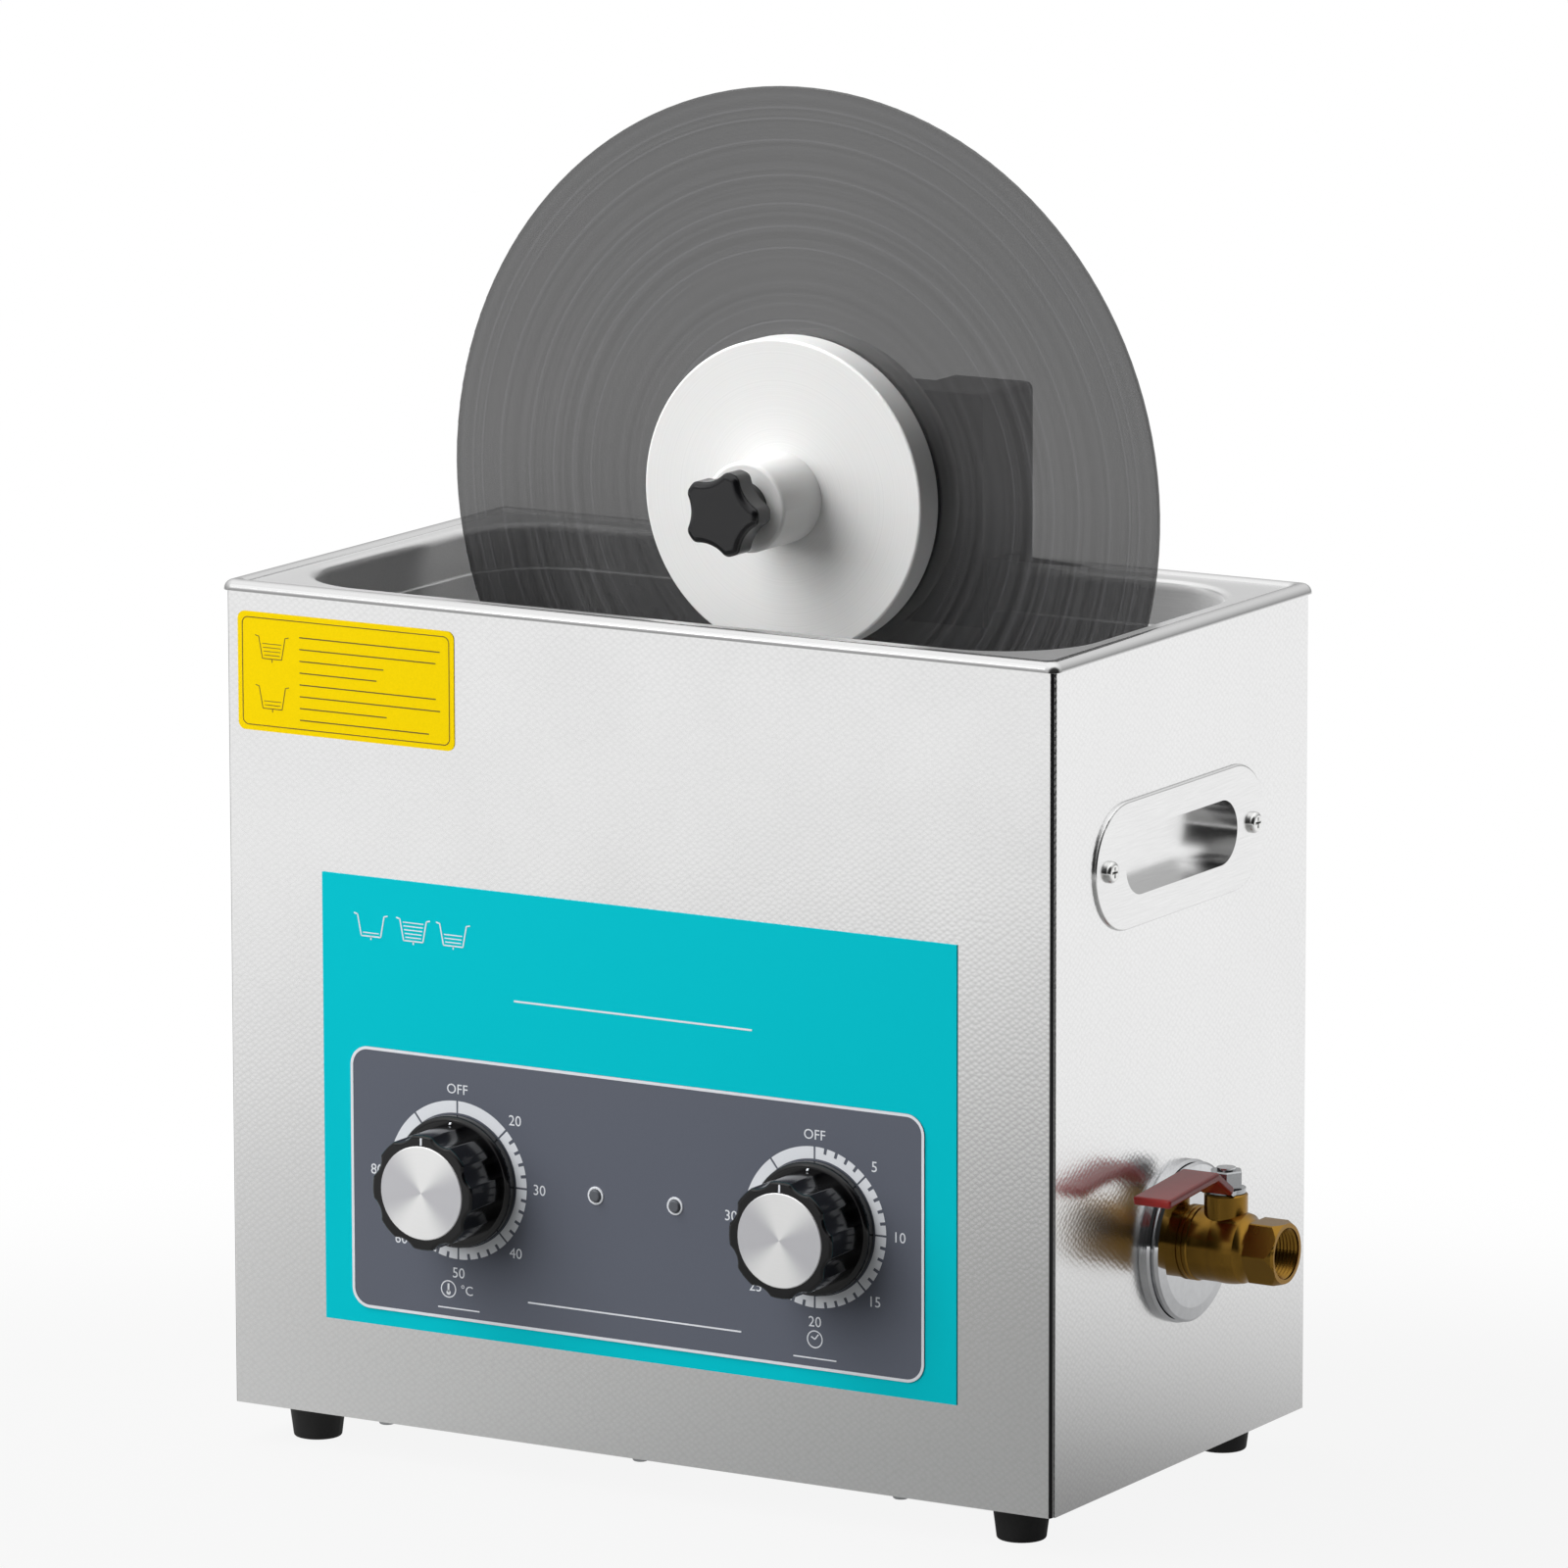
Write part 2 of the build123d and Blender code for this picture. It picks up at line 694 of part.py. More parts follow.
for dial_x, name in ((dial_xs[0], "heater"), (dial_xs[1], "timer")):
    with BuildPart() as knob:
        with BuildSketch(facing_front(dial_x, knob_back_y, dial_z)):
            Circle(knob_skirt_radius)
        extrude(amount=knob_skirt_height)
        fillet(knob.faces().sort_by(Axis.Y)[0].edges(), knob_skirt_height / 2)
        with BuildSketch(facing_front(dial_x, knob_back_y, dial_z)) as grip:
            Circle(knob_grip_radius)
            with PolarLocations(knob_grip_radius + flute_radius - knob_flute_depth, knob_flutes,
                                start_angle=180 / knob_flutes):
                Circle(flute_radius, mode=Mode.SUBTRACT)
            fillet(grip.vertices(), flute_round)
        extrude(amount=knob_height)
        fillet(knob.faces().sort_by(Axis.Y)[0].edges(), flute_round)
        with BuildSketch(facing_front(dial_x, knob_front_y, dial_z)):
            Circle(knob_cap_radius)
        extrude(amount=-knob_cap_sheet, mode=Mode.SUBTRACT)
        with BuildSketch(facing_front(dial_x, knob_back_y, dial_z)):
            Circle(dial_shaft_radius)
        extrude(amount=knob_bore_depth, mode=Mode.SUBTRACT)
    finish(knob.part, f"{name}_knob")

    with BuildPart() as cap:
        with BuildSketch(facing_front(dial_x, knob_front_y + knob_cap_sheet, dial_z)):
            Circle(knob_cap_radius)
        extrude(amount=knob_cap_sheet + knob_cap_proud)
        chamfer(cap.faces().sort_by(Axis.Y)[0].edges(), knob_cap_proud)
    finish(cap.part, f"{name}_knob_cap")

    with BuildPart() as shaft:
        with BuildSketch(facing_front(dial_x, body_front_y + shaft_reach, dial_z)):
            Circle(dial_shaft_radius)
        extrude(amount=body_front_y + shaft_reach - knob_back_y + knob_bore_depth)
    finish(shaft.part, f"{name}_shaft")

    with BuildPart() as control:
        with BuildSketch(facing_back(dial_x, body_front_y, dial_z)):
            if name == "heater":
                RectangleRounded(thermostat_size, thermostat_size, thermostat_corner)
            else:
                Circle(timer_radius)
        extrude(amount=dial_body_depth)
        with BuildSketch(facing_back(dial_x, body_front_y, dial_z)):
            Circle(dial_shaft_radius + slip_fit)
        extrude(amount=shaft_reach + slip_fit, mode=Mode.SUBTRACT)
    finish(control.part, "thermostat" if name == "heater" else "timer_movement")

with BuildPart() as indicator_lamps:
    with BuildSketch(facing_front(0, body_front_y + lamp_stub, 0)):
        with Locations([(x, lamp_z) for x in lamp_xs]):
            Circle(lamp_radius)
    extrude(amount=body_front_y + lamp_stub - plate_y + lamp_proud + lamp_dome)
    fillet(indicator_lamps.faces().group_by(Axis.Y)[0].edges(), lamp_dome)
finish(indicator_lamps.part, "indicator_lamps")

# recessed steel handles, one in each side, held by two cross-head screws each
pocket_bottom = handle_pocket + handle_sheet

with BuildPart() as handle_screws:
    for side in (-1, 1):
        with BuildSketch(facing_side(side, side * (half_width + handle_sheet), 0, 0)):
            with Locations(handle_screw_spots[side]):
                Circle(handle_screw_head)
        extrude(amount=handle_screw_head_height)
    fillet(handle_screws.faces().group_by(Axis.X)[0].edges(), handle_screw_round)
    fillet(handle_screws.faces().group_by(Axis.X)[-1].edges(), handle_screw_round)
    for side in (-1, 1):
        with BuildSketch(facing_side(side, side * (half_width + handle_sheet), 0, 0)):
            with Locations(handle_screw_spots[side]):
                Circle(handle_screw_radius)
        extrude(amount=-handle_screw_length)
        slotted = facing_side(side, side * (half_width + handle_sheet + handle_screw_head_height), 0, 0)
        with BuildSketch(slotted):
            with Locations(handle_screw_spots[side]):
                Rectangle(handle_screw_head, cross_slot)
                Rectangle(cross_slot, handle_screw_head)
        extrude(amount=-handle_screw_head_height / 2, mode=Mode.SUBTRACT)
finish(handle_screws.part, "handle_screws")

for side, name in ((-1, "left_handle"), (1, "right_handle")):
    with BuildPart() as handle:
        outside = facing_side(side, side * half_width, 0, 0)
        with BuildSketch(outside):
            with Locations((side * handle_y, handle_z)):
                SlotOverall(handle_length, handle_height)
        extrude(amount=handle_sheet)
        outer_face = handle.faces().sort_by(Axis.X)[0 if side < 0 else -1]
        fillet(outer_face.edges(), handle_edge_round)
        with BuildSketch(outside):
            with Locations((side * handle_y, handle_z)):
                SlotOverall(handle_opening_length + 2 * handle_sheet,
                            handle_opening_height + 2 * handle_sheet)
        extrude(amount=-pocket_bottom)
        with BuildSketch(outside.offset(handle_sheet)):
            with Locations((side * handle_y, handle_z)):
                SlotOverall(handle_opening_length, handle_opening_height)
        extrude(amount=-(handle_sheet + handle_pocket), mode=Mode.SUBTRACT)
        with BuildSketch(outside):
            with Locations(handle_screw_spots[side]):
                Circle(handle_screw_radius + screw_fit)
        extrude(amount=handle_sheet, mode=Mode.SUBTRACT)
    finish(handle.part, name)

# drain: pipe from the tank floor, wall escutcheon and quarter-turn ball valve
drain_end_x = half_width + escutcheon_depth
valve_side = facing_side(1, half_width, 0, drain_z)
valve_axis = Axis((half_width, 0, drain_z), (1, 0, 0))
stem_x = half_width + stem_offset
stem_axis_plane = Plane((stem_x, 0, drain_z))

with BuildPart() as drain_pipe:
    with BuildLine() as drain_path:
        FilletPolyline((drain_floor_x, 0, tank_floor_z), (drain_floor_x, 0, drain_z),
                       (drain_end_x, 0, drain_z), radius=drain_bend)
    with BuildSketch(Plane((drain_floor_x, 0, tank_floor_z), z_dir=(0, 0, -1))):
        Circle(drain_pipe_radius)
    sweep(path=drain_path.line)
    with BuildSketch(Plane.XY.offset(tank_under_z)):
        with Locations((drain_floor_x, 0)):
            Circle(drain_flange_radius)
    extrude(amount=-drain_flange_sheet)
    with BuildSketch(Plane((drain_floor_x, 0, tank_floor_z), z_dir=(0, 0, -1))):
        Circle(drain_pipe_bore)
    sweep(path=drain_path.line, mode=Mode.SUBTRACT)
finish(drain_pipe.part, "drain_pipe")

with BuildPart() as escutcheon:
    with BuildSketch(Plane((half_width, 0, drain_z), x_dir=(1, 0, 0), z_dir=(0, -1, 0))):
        with BuildLine():
            Polyline((0, drain_pipe_radius), (0, escutcheon_radius),
                     *[(along, escutcheon_radius - inset) for along, inset in escutcheon_steps],
                     (escutcheon_depth, escutcheon_radius - escutcheon_bevel),
                     (escutcheon_depth, drain_pipe_radius), close=True)
        make_face()
    revolve(axis=valve_axis)
finish(escutcheon.part, "escutcheon")

hex_start = valve_reach - valve_hex_length
belly_start = escutcheon_depth + valve_steps[-1][0]
belly_end = hex_start - throat_length
belly = ((belly_start, valve_body_radius + valve_steps[-1][1]),
         ((belly_start + belly_end) / 2, valve_body_radius),
         (belly_end, valve_body_radius - belly_fall))
throat = ((belly_end, valve_body_radius - belly_fall),
          (belly_end + throat_length * throat_turn,
           neck_radius + (valve_body_radius - belly_fall - neck_radius) * throat_rise),
          (hex_start, neck_radius))

with BuildPart() as valve_end:
    with BuildSketch(valve_side.offset(hex_start)) as hex_section:
        RegularPolygon(valve_hex / 2, 6, major_radius=False)
        fillet(hex_section.vertices(), hex_round)
    extrude(amount=valve_hex_length)
    with BuildSketch(valve_side.offset(valve_reach)):
        Circle(valve_hex / 2)
    extrude(amount=-valve_hex_length, taper=-hex_bevel, mode=Mode.INTERSECT)

with BuildPart() as valve_body:
    with BuildSketch(Plane((half_width, 0, drain_z), x_dir=(1, 0, 0), z_dir=(0, -1, 0))):
        with BuildLine():
            Polyline((escutcheon_depth, 0),
                     *[(escutcheon_depth + along, valve_body_radius + step) for along, step in valve_steps])
            ThreePointArc(*belly)
            ThreePointArc(*throat)
            Polyline(throat[-1], (hex_start + hex_lap, neck_radius), (hex_start + hex_lap, 0),
                     (escutcheon_depth, 0))
        make_face()
    revolve(axis=valve_axis)
    add(valve_end.part)
    with BuildSketch(stem_axis_plane):
        Circle(stem_boss_radius)
    extrude(amount=stem_boss_height)
    chamfer(valve_body.faces().sort_by(Axis.Z)[-1].edges(), boss_bevel)
    with BuildSketch(valve_side):
        Circle(drain_pipe_bore)
    extrude(amount=stem_offset, mode=Mode.SUBTRACT)
    with BuildSketch(valve_side.offset(stem_offset)):
        Circle(ball_bore_radius)
    extrude(amount=valve_reach - stem_offset, mode=Mode.SUBTRACT)
    with BuildSketch(valve_side.offset(valve_reach)):
        Circle(outlet_bore_radius)
    extrude(amount=-outlet_bore_depth, mode=Mode.SUBTRACT)
    chamfer(valve_body.edges().filter_by_position(Axis.X, half_width + valve_reach - 0.01,
                                                  half_width + valve_reach + 0.01)
            .filter_by(GeomType.CIRCLE).sort_by(SortBy.RADIUS)[-1], outlet_bevel)
    with Locations((stem_x, 0, drain_z)):
        Sphere(ball_radius + ball_gap, mode=Mode.SUBTRACT)
    with BuildSketch(stem_axis_plane):
        Circle(stem_radius + slip_fit)
    extrude(amount=stem_boss_height, mode=Mode.SUBTRACT)
finish(valve_body.part, "valve_body")

lever_z = drain_z + stem_boss_height + ball_gap
stem_top_z = lever_z + lever_sheet + lever_nut_height + stem_proud
stem_foot_z = drain_z + ball_bore_radius + stem_seat

with BuildPart() as valve_ball:
    with Locations((stem_x, 0, drain_z)):
        Sphere(ball_radius)
    with BuildSketch(facing_front(stem_x, -ball_radius, drain_z)):
        Circle(ball_bore_radius)
    extrude(amount=-2 * ball_radius, mode=Mode.SUBTRACT)
    with BuildSketch(Plane((stem_x, 0, stem_foot_z))):
        Circle(stem_radius)
    extrude(amount=stem_top_z - stem_foot_z)
finish(valve_ball.part, "valve_ball")

# the lever runs level over the stem, climbs away from it and then runs out almost level
lever_side = Plane((stem_x, 0, 0), x_dir=(0, -1, 0), z_dir=(-1, 0, 0))
lever_mid_z = lever_z + lever_sheet / 2
lever_route = ((lever_bend, lever_mid_z), (lever_top, lever_mid_z + lever_rise),
               (lever_length, lever_mid_z + lever_rise - lever_fall))
sleeve_route = ((lever_bend + sleeve_start * (lever_top - lever_bend),
                 lever_mid_z + sleeve_start * lever_rise),
                lever_route[1],
                (lever_length + sleeve_end, lever_mid_z + lever_rise - lever_fall))

with BuildPart() as valve_lever:
    with BuildSketch(lever_side):
        with BuildLine():
            Polyline((0, lever_mid_z), *lever_route)
        trace(line_width=lever_sheet)
    extrude(amount=lever_width / 2, both=True)
    with BuildSketch(Plane((stem_x, 0, lever_z))):
        Circle(lever_width / 2 + lever_eye)
    extrude(amount=lever_sheet)
    with BuildSketch(Plane((stem_x, 0, lever_z))):
        Circle(stem_radius)
    extrude(amount=lever_sheet, mode=Mode.SUBTRACT)
finish(valve_lever.part, "valve_lever")

with BuildPart() as lever_sleeve:
    with BuildSketch(lever_side):
        with BuildLine():
            Polyline(*sleeve_route)
        trace(line_width=sleeve_thickness)
    extrude(amount=sleeve_width / 2, both=True)
    fillet(lever_sleeve.edges(), sleeve_round)
    add(valve_lever.part, mode=Mode.SUBTRACT)
finish(lever_sleeve.part, "lever_sleeve")

with BuildPart() as lever_nut:
    with BuildSketch(Plane((stem_x, 0, lever_z + lever_sheet))) as nut_section:
        RegularPolygon(lever_nut_across / 2, 6, major_radius=False)
        Circle(stem_radius, mode=Mode.SUBTRACT)
    extrude(amount=lever_nut_height)
    chamfer(lever_nut.faces().sort_by(Axis.Z)[-1].outer_wire().edges(), lever_nut_bevel)
finish(lever_nut.part, "lever_nut")

# four bolted transducers glued under the tank floor
horn_bottom_z = tank_under_z - horn_height
piezo_bottom_z = horn_bottom_z - piezo_height
back_mass_z = piezo_bottom_z - back_mass_height

with BuildPart() as transducer_horns:
    with Locations([(x, y, horn_bottom_z) for x, y in transducer_spots]):
        Cone(horn_bottom_radius, horn_top_radius, horn_height, align=(Align.CENTER, Align.CENTER, Align.MIN))
finish(transducer_horns.part, "transducer_horns")

with BuildPart() as piezo_rings:
    with BuildSketch(Plane.XY.offset(piezo_bottom_z)):
        with Locations(transducer_spots):
            Circle(piezo_radius)
            Circle(piezo_bore, mode=Mode.SUBTRACT)
    extrude(amount=piezo_height)
finish(piezo_rings.part, "piezo_rings")

with BuildPart() as back_masses:
    with BuildSketch(Plane.XY.offset(back_mass_z)):
        with Locations(transducer_spots):
            Circle(back_mass_radius)
    extrude(amount=back_mass_height)
    with BuildSketch(Plane.XY.offset(back_mass_z)):
        with Locations(transducer_spots):
            RegularPolygon(transducer_bolt_radius, 6)
    extrude(amount=-transducer_bolt_head)
finish(back_masses.part, "back_masses")

# foil heaters on the long walls of the tank
heater_pad_z = (tank_floor_z + draw_z) / 2
pad_y = lower_width / 2 + tank_sheet

with BuildPart() as heater_pads:
    for outward in (-1, 1):
        with BuildSketch(Plane((0, outward * pad_y, heater_pad_z), x_dir=(1, 0, 0), z_dir=(0, outward, 0))):
            RectangleRounded(heater_pad_length, heater_pad_height, heater_pad_corner)
        extrude(amount=heater_pad_sheet)
finish(heater_pads.part, "heater_pads")

# ultrasonic generator on the base plate
capacitor_spots = [(board_x + capacitor_x + i * capacitor_span, capacitor_y) for i in (0, 1)]
coil_centres = [(board_x + x, y) for x, y in coil_spots]
sink_x = board_x - board_length / 2 + sink_inset

with BuildPart() as generator_board:
    with BuildSketch(Plane.XY.offset(base_top_z + standoff_height)):
        with Locations((board_x, 0)):
            Rectangle(board_length, board_width)
    extrude(amount=board_sheet)
finish(generator_board.part, "generator_board")

with BuildPart() as board_components:
    with BuildSketch(Plane.XY.offset(board_top_z)):
        with Locations((board_x + transformer_x, transformer_y)):
            Rectangle(transformer_length, transformer_width)
    extrude(amount=transformer_height)
    with BuildSketch(Plane.XY.offset(board_top_z)):
        with Locations(capacitor_spots):
            Circle(capacitor_radius)
    extrude(amount=capacitor_height)
    with BuildSketch(Plane.XY.offset(board_top_z)):
        with Locations(coil_centres):
            Circle(coil_radius)
            Circle(coil_bore, mode=Mode.SUBTRACT)
    extrude(amount=coil_height)
finish(board_components.part, "board_components")

with BuildPart() as heat_sink:
    with BuildSketch(Plane.XY.offset(board_top_z)):
        with Locations((sink_x, 0)):
            Rectangle(sink_thickness, sink_length)
    extrude(amount=sink_height)
    with BuildSketch(Plane.XY.offset(board_top_z + sink_height)):
        with Locations((sink_x, 0)):
            with GridLocations(1, sink_length / (sink_slots + 1), 1, sink_slots):
                Rectangle(2 * sink_thickness, sink_slot_width)
    extrude(amount=-sink_slot_height, mode=Mode.SUBTRACT)
finish(heat_sink.part, "heat_sink")

# cooling fan and mains inlet on the rear sheet, and the screws that hold them
fan_z = base_z + fan_level
inside_y = half_depth - case_sheet
fan_plane = facing_back(fan_x, inside_y - fan_depth, fan_z)

with BuildPart() as fan_frame:
    with BuildSketch(fan_plane):
        RectangleRounded(fan_size, fan_size, fan_corner)
        Circle(fan_bore_radius, mode=Mode.SUBTRACT)
        with GridLocations(fan_screw_span, fan_screw_span, 2, 2):
            Circle(rear_screw_radius, mode=Mode.SUBTRACT)
    extrude(amount=fan_depth)
    with BuildSketch(fan_plane):
        Circle(fan_hub_radius)
        Rectangle(fan_size, fan_arm)
        Rectangle(fan_arm, fan_size)
    extrude(amount=fan_web)
    with BuildSketch(fan_plane):
        Circle(fan_pin_radius)
    extrude(amount=rotor_depth)
finish(fan_frame.part, "fan_frame")

blade_reach = fan_bore_radius - fan_tip_gap
blade_lift = blade_reach - sqrt(blade_reach ** 2 - (blade_chord * cos(radians(blade_pitch)) / 2) ** 2)

with BuildPart() as fan_rotor:
    with BuildSketch(fan_plane.offset(fan_web + fan_run_gap)):
        Circle(fan_hub_radius)
    extrude(amount=rotor_depth)
    fillet(fan_rotor.faces().sort_by(Axis.Y)[-1].edges(), rotor_round)
    for i in range(fan_blades):
        turn = 2 * pi * i / fan_blades
        spoke = Vector(cos(turn), 0, sin(turn))
        root = Vector(fan_x, inside_y - fan_depth / 2, fan_z) + spoke * (fan_hub_radius - blade_root)
        around = Vector(-sin(turn), 0, cos(turn))
        chord_dir = around * cos(radians(blade_pitch)) + Vector(0, 1, 0) * sin(radians(blade_pitch))
        with BuildSketch(Plane(origin=root, x_dir=chord_dir, z_dir=spoke)):
            Rectangle(blade_chord, blade_sheet)
        extrude(amount=fan_bore_radius - fan_tip_gap - fan_hub_radius + blade_root - blade_lift)
    with BuildSketch(fan_plane):
        Circle(fan_pin_radius + slip_fit)
    extrude(amount=rotor_depth + fan_run_gap, mode=Mode.SUBTRACT)
finish(fan_rotor.part, "fan_rotor")

inlet_plane = facing_back(inlet_x, half_depth, base_z + inlet_level)
inlet_face_length = inlet_screw_span + 2 * inlet_ear

with BuildPart() as power_inlet:
    with BuildSketch(inlet_plane):
        RectangleRounded(inlet_face_length, inlet_face_height, inlet_face_corner)
        with GridLocations(inlet_screw_span, 1, 2, 1):
            Circle(rear_screw_radius + screw_fit, mode=Mode.SUBTRACT)
    extrude(amount=inlet_face_sheet)
    fillet(power_inlet.faces().sort_by(Axis.Y)[-1].outer_wire().edges(), inlet_edge_round)
    with BuildSketch(inlet_plane):
        Rectangle(inlet_length, inlet_height)
    extrude(amount=-inlet_depth)
    with BuildSketch(inlet_plane.offset(inlet_face_sheet)) as socket_shape:
        Rectangle(inlet_socket_length, inlet_socket_height)
        chamfer(socket_shape.vertices().group_by(Axis.Y)[-1], inlet_socket_bevel)
    extrude(amount=-inlet_socket_depth, mode=Mode.SUBTRACT)
    with BuildSketch(inlet_plane.offset(inlet_face_sheet - inlet_socket_depth)):
        with Locations(contact_spots):
            Rectangle(contact_width, contact_height)
    extrude(amount=contact_length)
finish(power_inlet.part, "power_inlet")

with BuildPart() as rear_screws:
    for head_y, spots in ((half_depth, fan_screw_spots), (half_depth + inlet_face_sheet, inlet_screw_spots)):
        with BuildSketch(facing_back(0, head_y, 0)):
            with Locations(spots):
                Circle(rear_screw_head)
        extrude(amount=rear_screw_head_height)
        with BuildSketch(facing_back(0, head_y, 0)):
            with Locations(spots):
                Circle(rear_screw_radius)
        extrude(amount=-rear_screw_length)
        with BuildSketch(facing_back(0, head_y + rear_screw_head_height, 0)):
            with Locations(spots):
                Rectangle(rear_screw_head, cross_slot)
                Rectangle(cross_slot, rear_screw_head)
        extrude(amount=-rear_screw_head_height / 2, mode=Mode.SUBTRACT)
finish(rear_screws.part, "rear_screws")

# bracket that hooks over the rim: jaw inside the tank, lipped flange behind the case
left_x = spindle_x - bracket_left
right_x = spindle_x + bracket_right
seat_z = bead_z + hang_gap
bracket_top_z = spindle_z + bracket_top
lip_bottom_z = spindle_z - lip_drop
lip_top_z = lip_bottom_z + lip_height
relief_y = slot_back_y + lip_relief
box_left_x = spindle_x - box_left
box_right_x = box_left_x + box_width
bracket_screw_xs = [spindle_x + bracket_screw_x + i * bracket_screw_span for i in (0, 1)]
bracket_screw_z = spindle_z - bracket_screw_drop

with BuildPart() as holder_bracket:
    with BuildSketch(Plane((left_x, 0, 0), x_dir=(0, 1, 0), z_dir=(1, 0, 0))) as side_view:
        with BuildLine():
            Polyline((jaw_front_y, bracket_top_z), (bracket_back_y, bracket_top_z),
                     (bracket_back_y, lip_bottom_z), (slot_back_y, lip_bottom_z),
                     (slot_back_y, lip_top_z), (relief_y, lip_top_z + lip_relief),
                     (relief_y, seat_z), (slot_front_y, seat_z),
                     (slot_front_y, spindle_z - jaw_drop), (jaw_front_y, spindle_z - jaw_drop), close=True)
        make_face()
    extrude(amount=bracket_left + bracket_right)
    slot_ends = holder_bracket.edges().filter_by(Axis.X).filter_by_position(
        Axis.Z, seat_z - 0.01, seat_z + 0.01)
    fillet(slot_ends.sort_by(Axis.Y)[-1], relief_corner)
    top_corners = holder_bracket.edges().filter_by(Axis.Y).group_by(Axis.Z)[-1].sort_by(Axis.X)
    fillet(top_corners[0], bracket_left_round)
    fillet(top_corners[-1], bracket_right_round)
    fillet(holder_bracket.edges().filter_by(Axis.Y).group_by(Axis.Z)[0], flange_round)
    with BuildSketch(facing_front(0, jaw_front_y, 0)):
        with Locations((spindle_x + (notch_right - notch_left) / 2, bracket_top_z)):
            Rectangle(notch_left + notch_right, 2 * (bracket_top - notch_floor))
    extrude(amount=-(bracket_back_y - jaw_front_y), mode=Mode.SUBTRACT)
    with BuildSketch(facing_front(spindle_x, jaw_front_y, spindle_z)):
        Circle(bush_radius)
    extrude(amount=-(bracket_back_y - jaw_front_y), mode=Mode.SUBTRACT)
    with BuildSketch(facing_front(0, jaw_front_y, 0)):
        with Locations([(x, bracket_screw_z) for x in bracket_screw_xs]):
            Circle(bracket_screw_radius + screw_fit)
    extrude(amount=-(bracket_back_y - jaw_front_y), mode=Mode.SUBTRACT)
    with BuildSketch(facing_front(0, jaw_front_y, 0)):
        with Locations([(x, bracket_screw_z) for x in bracket_screw_xs]):
            Circle(bracket_screw_head + screw_fit)
    extrude(amount=-bracket_screw_recess, mode=Mode.SUBTRACT)
finish(holder_bracket.part, "holder_bracket")

screw_head_y = jaw_front_y + bracket_screw_recess
with BuildPart() as bracket_screws:
    with BuildSketch(facing_front(0, screw_head_y, 0)):
        with Locations([(x, bracket_screw_z) for x in bracket_screw_xs]):
            Circle(bracket_screw_head)
            RegularPolygon(hex_key_radius, 6, mode=Mode.SUBTRACT)
    extrude(amount=bracket_screw_head_height)
    with BuildSketch(facing_front(0, screw_head_y, 0)):
        with Locations([(x, bracket_screw_z) for x in bracket_screw_xs]):
            Circle(bracket_screw_radius)
    extrude(amount=-(bracket_back_y + box_wall - screw_head_y))
finish(bracket_screws.part, "bracket_screws")

bush_back_y = bracket_back_y + box_wall
with BuildPart() as spindle_bush:
    with BuildSketch(facing_back(spindle_x, jaw_front_y - bush_flange, spindle_z)):
        Circle(bush_flange_radius)
    extrude(amount=bush_flange)
    with BuildSketch(facing_back(spindle_x, jaw_front_y, spindle_z)):
        Circle(bush_radius)
    extrude(amount=bush_back_y - jaw_front_y)
    with BuildSketch(facing_back(spindle_x, jaw_front_y - bush_flange, spindle_z)):
        Circle(spindle_radius + spindle_fit)
    extrude(amount=bush_back_y - jaw_front_y + bush_flange, mode=Mode.SUBTRACT)
finish(spindle_bush.part, "spindle_bush")

# drive box behind the bracket, open at the back, closed by a screwed cover
box_top_z = spindle_z + box_top
box_height = box_top_z - lip_bottom_z
box_mid_x = (box_left_x + box_right_x) / 2
box_mid_z = (box_top_z + lip_bottom_z) / 2
cover_y = box_back_y - box_wall
post_span_x = box_width - 2 * box_wall - post_size
post_span_z = box_height - 2 * box_wall - post_size
box_plane = facing_back(box_mid_x, bracket_back_y, box_mid_z)
exit_x = spindle_x + grommet_x
exit_y = bracket_back_y + box_depth / 2

with BuildPart() as drive_box:
    with BuildSketch(box_plane):
        Rectangle(box_width, box_height)
    extrude(amount=cover_y - bracket_back_y)
    with BuildSketch(box_plane.offset(box_wall)):
        Rectangle(box_width - 2 * box_wall, box_height - 2 * box_wall)
        with GridLocations(post_span_x, post_span_z, 2, 2):
            Rectangle(post_size, post_size, mode=Mode.SUBTRACT)
    extrude(amount=cover_y - bracket_back_y - box_wall, mode=Mode.SUBTRACT)
    with BuildSketch(facing_back(0, cover_y, 0)):
        with Locations((-box_mid_x, box_mid_z)):
            with GridLocations(post_span_x, post_span_z, 2, 2):
                Circle(cover_screw_radius)
    extrude(amount=-cover_screw_bore, mode=Mode.SUBTRACT)
    with BuildSketch(facing_back(0, bracket_back_y, 0)):
        with Locations((-spindle_x, spindle_z)):
            Circle(bush_radius)
        with Locations([(-x, bracket_screw_z) for x in bracket_screw_xs]):
            Circle(bracket_screw_radius)
    extrude(amount=box_wall, mode=Mode.SUBTRACT)
    with BuildSketch(Plane.XY.offset(lip_bottom_z)):
        with Locations((exit_x, exit_y)):
            Circle(grommet_shank)
    extrude(amount=box_wall, mode=Mode.SUBTRACT)
finish(drive_box.part, "drive_box")

with BuildPart() as drive_cover:
    with BuildSketch(box_plane.offset(cover_y - bracket_back_y)):
        Rectangle(box_width, box_height)
        with GridLocations(post_span_x, post_span_z, 2, 2):
            Circle(cover_screw_radius + screw_fit, mode=Mode.SUBTRACT)
    extrude(amount=box_wall)
    fillet(drive_cover.faces().sort_by(Axis.Y)[-1].outer_wire().edges(), cover_round)
finish(drive_cover.part, "drive_cover")

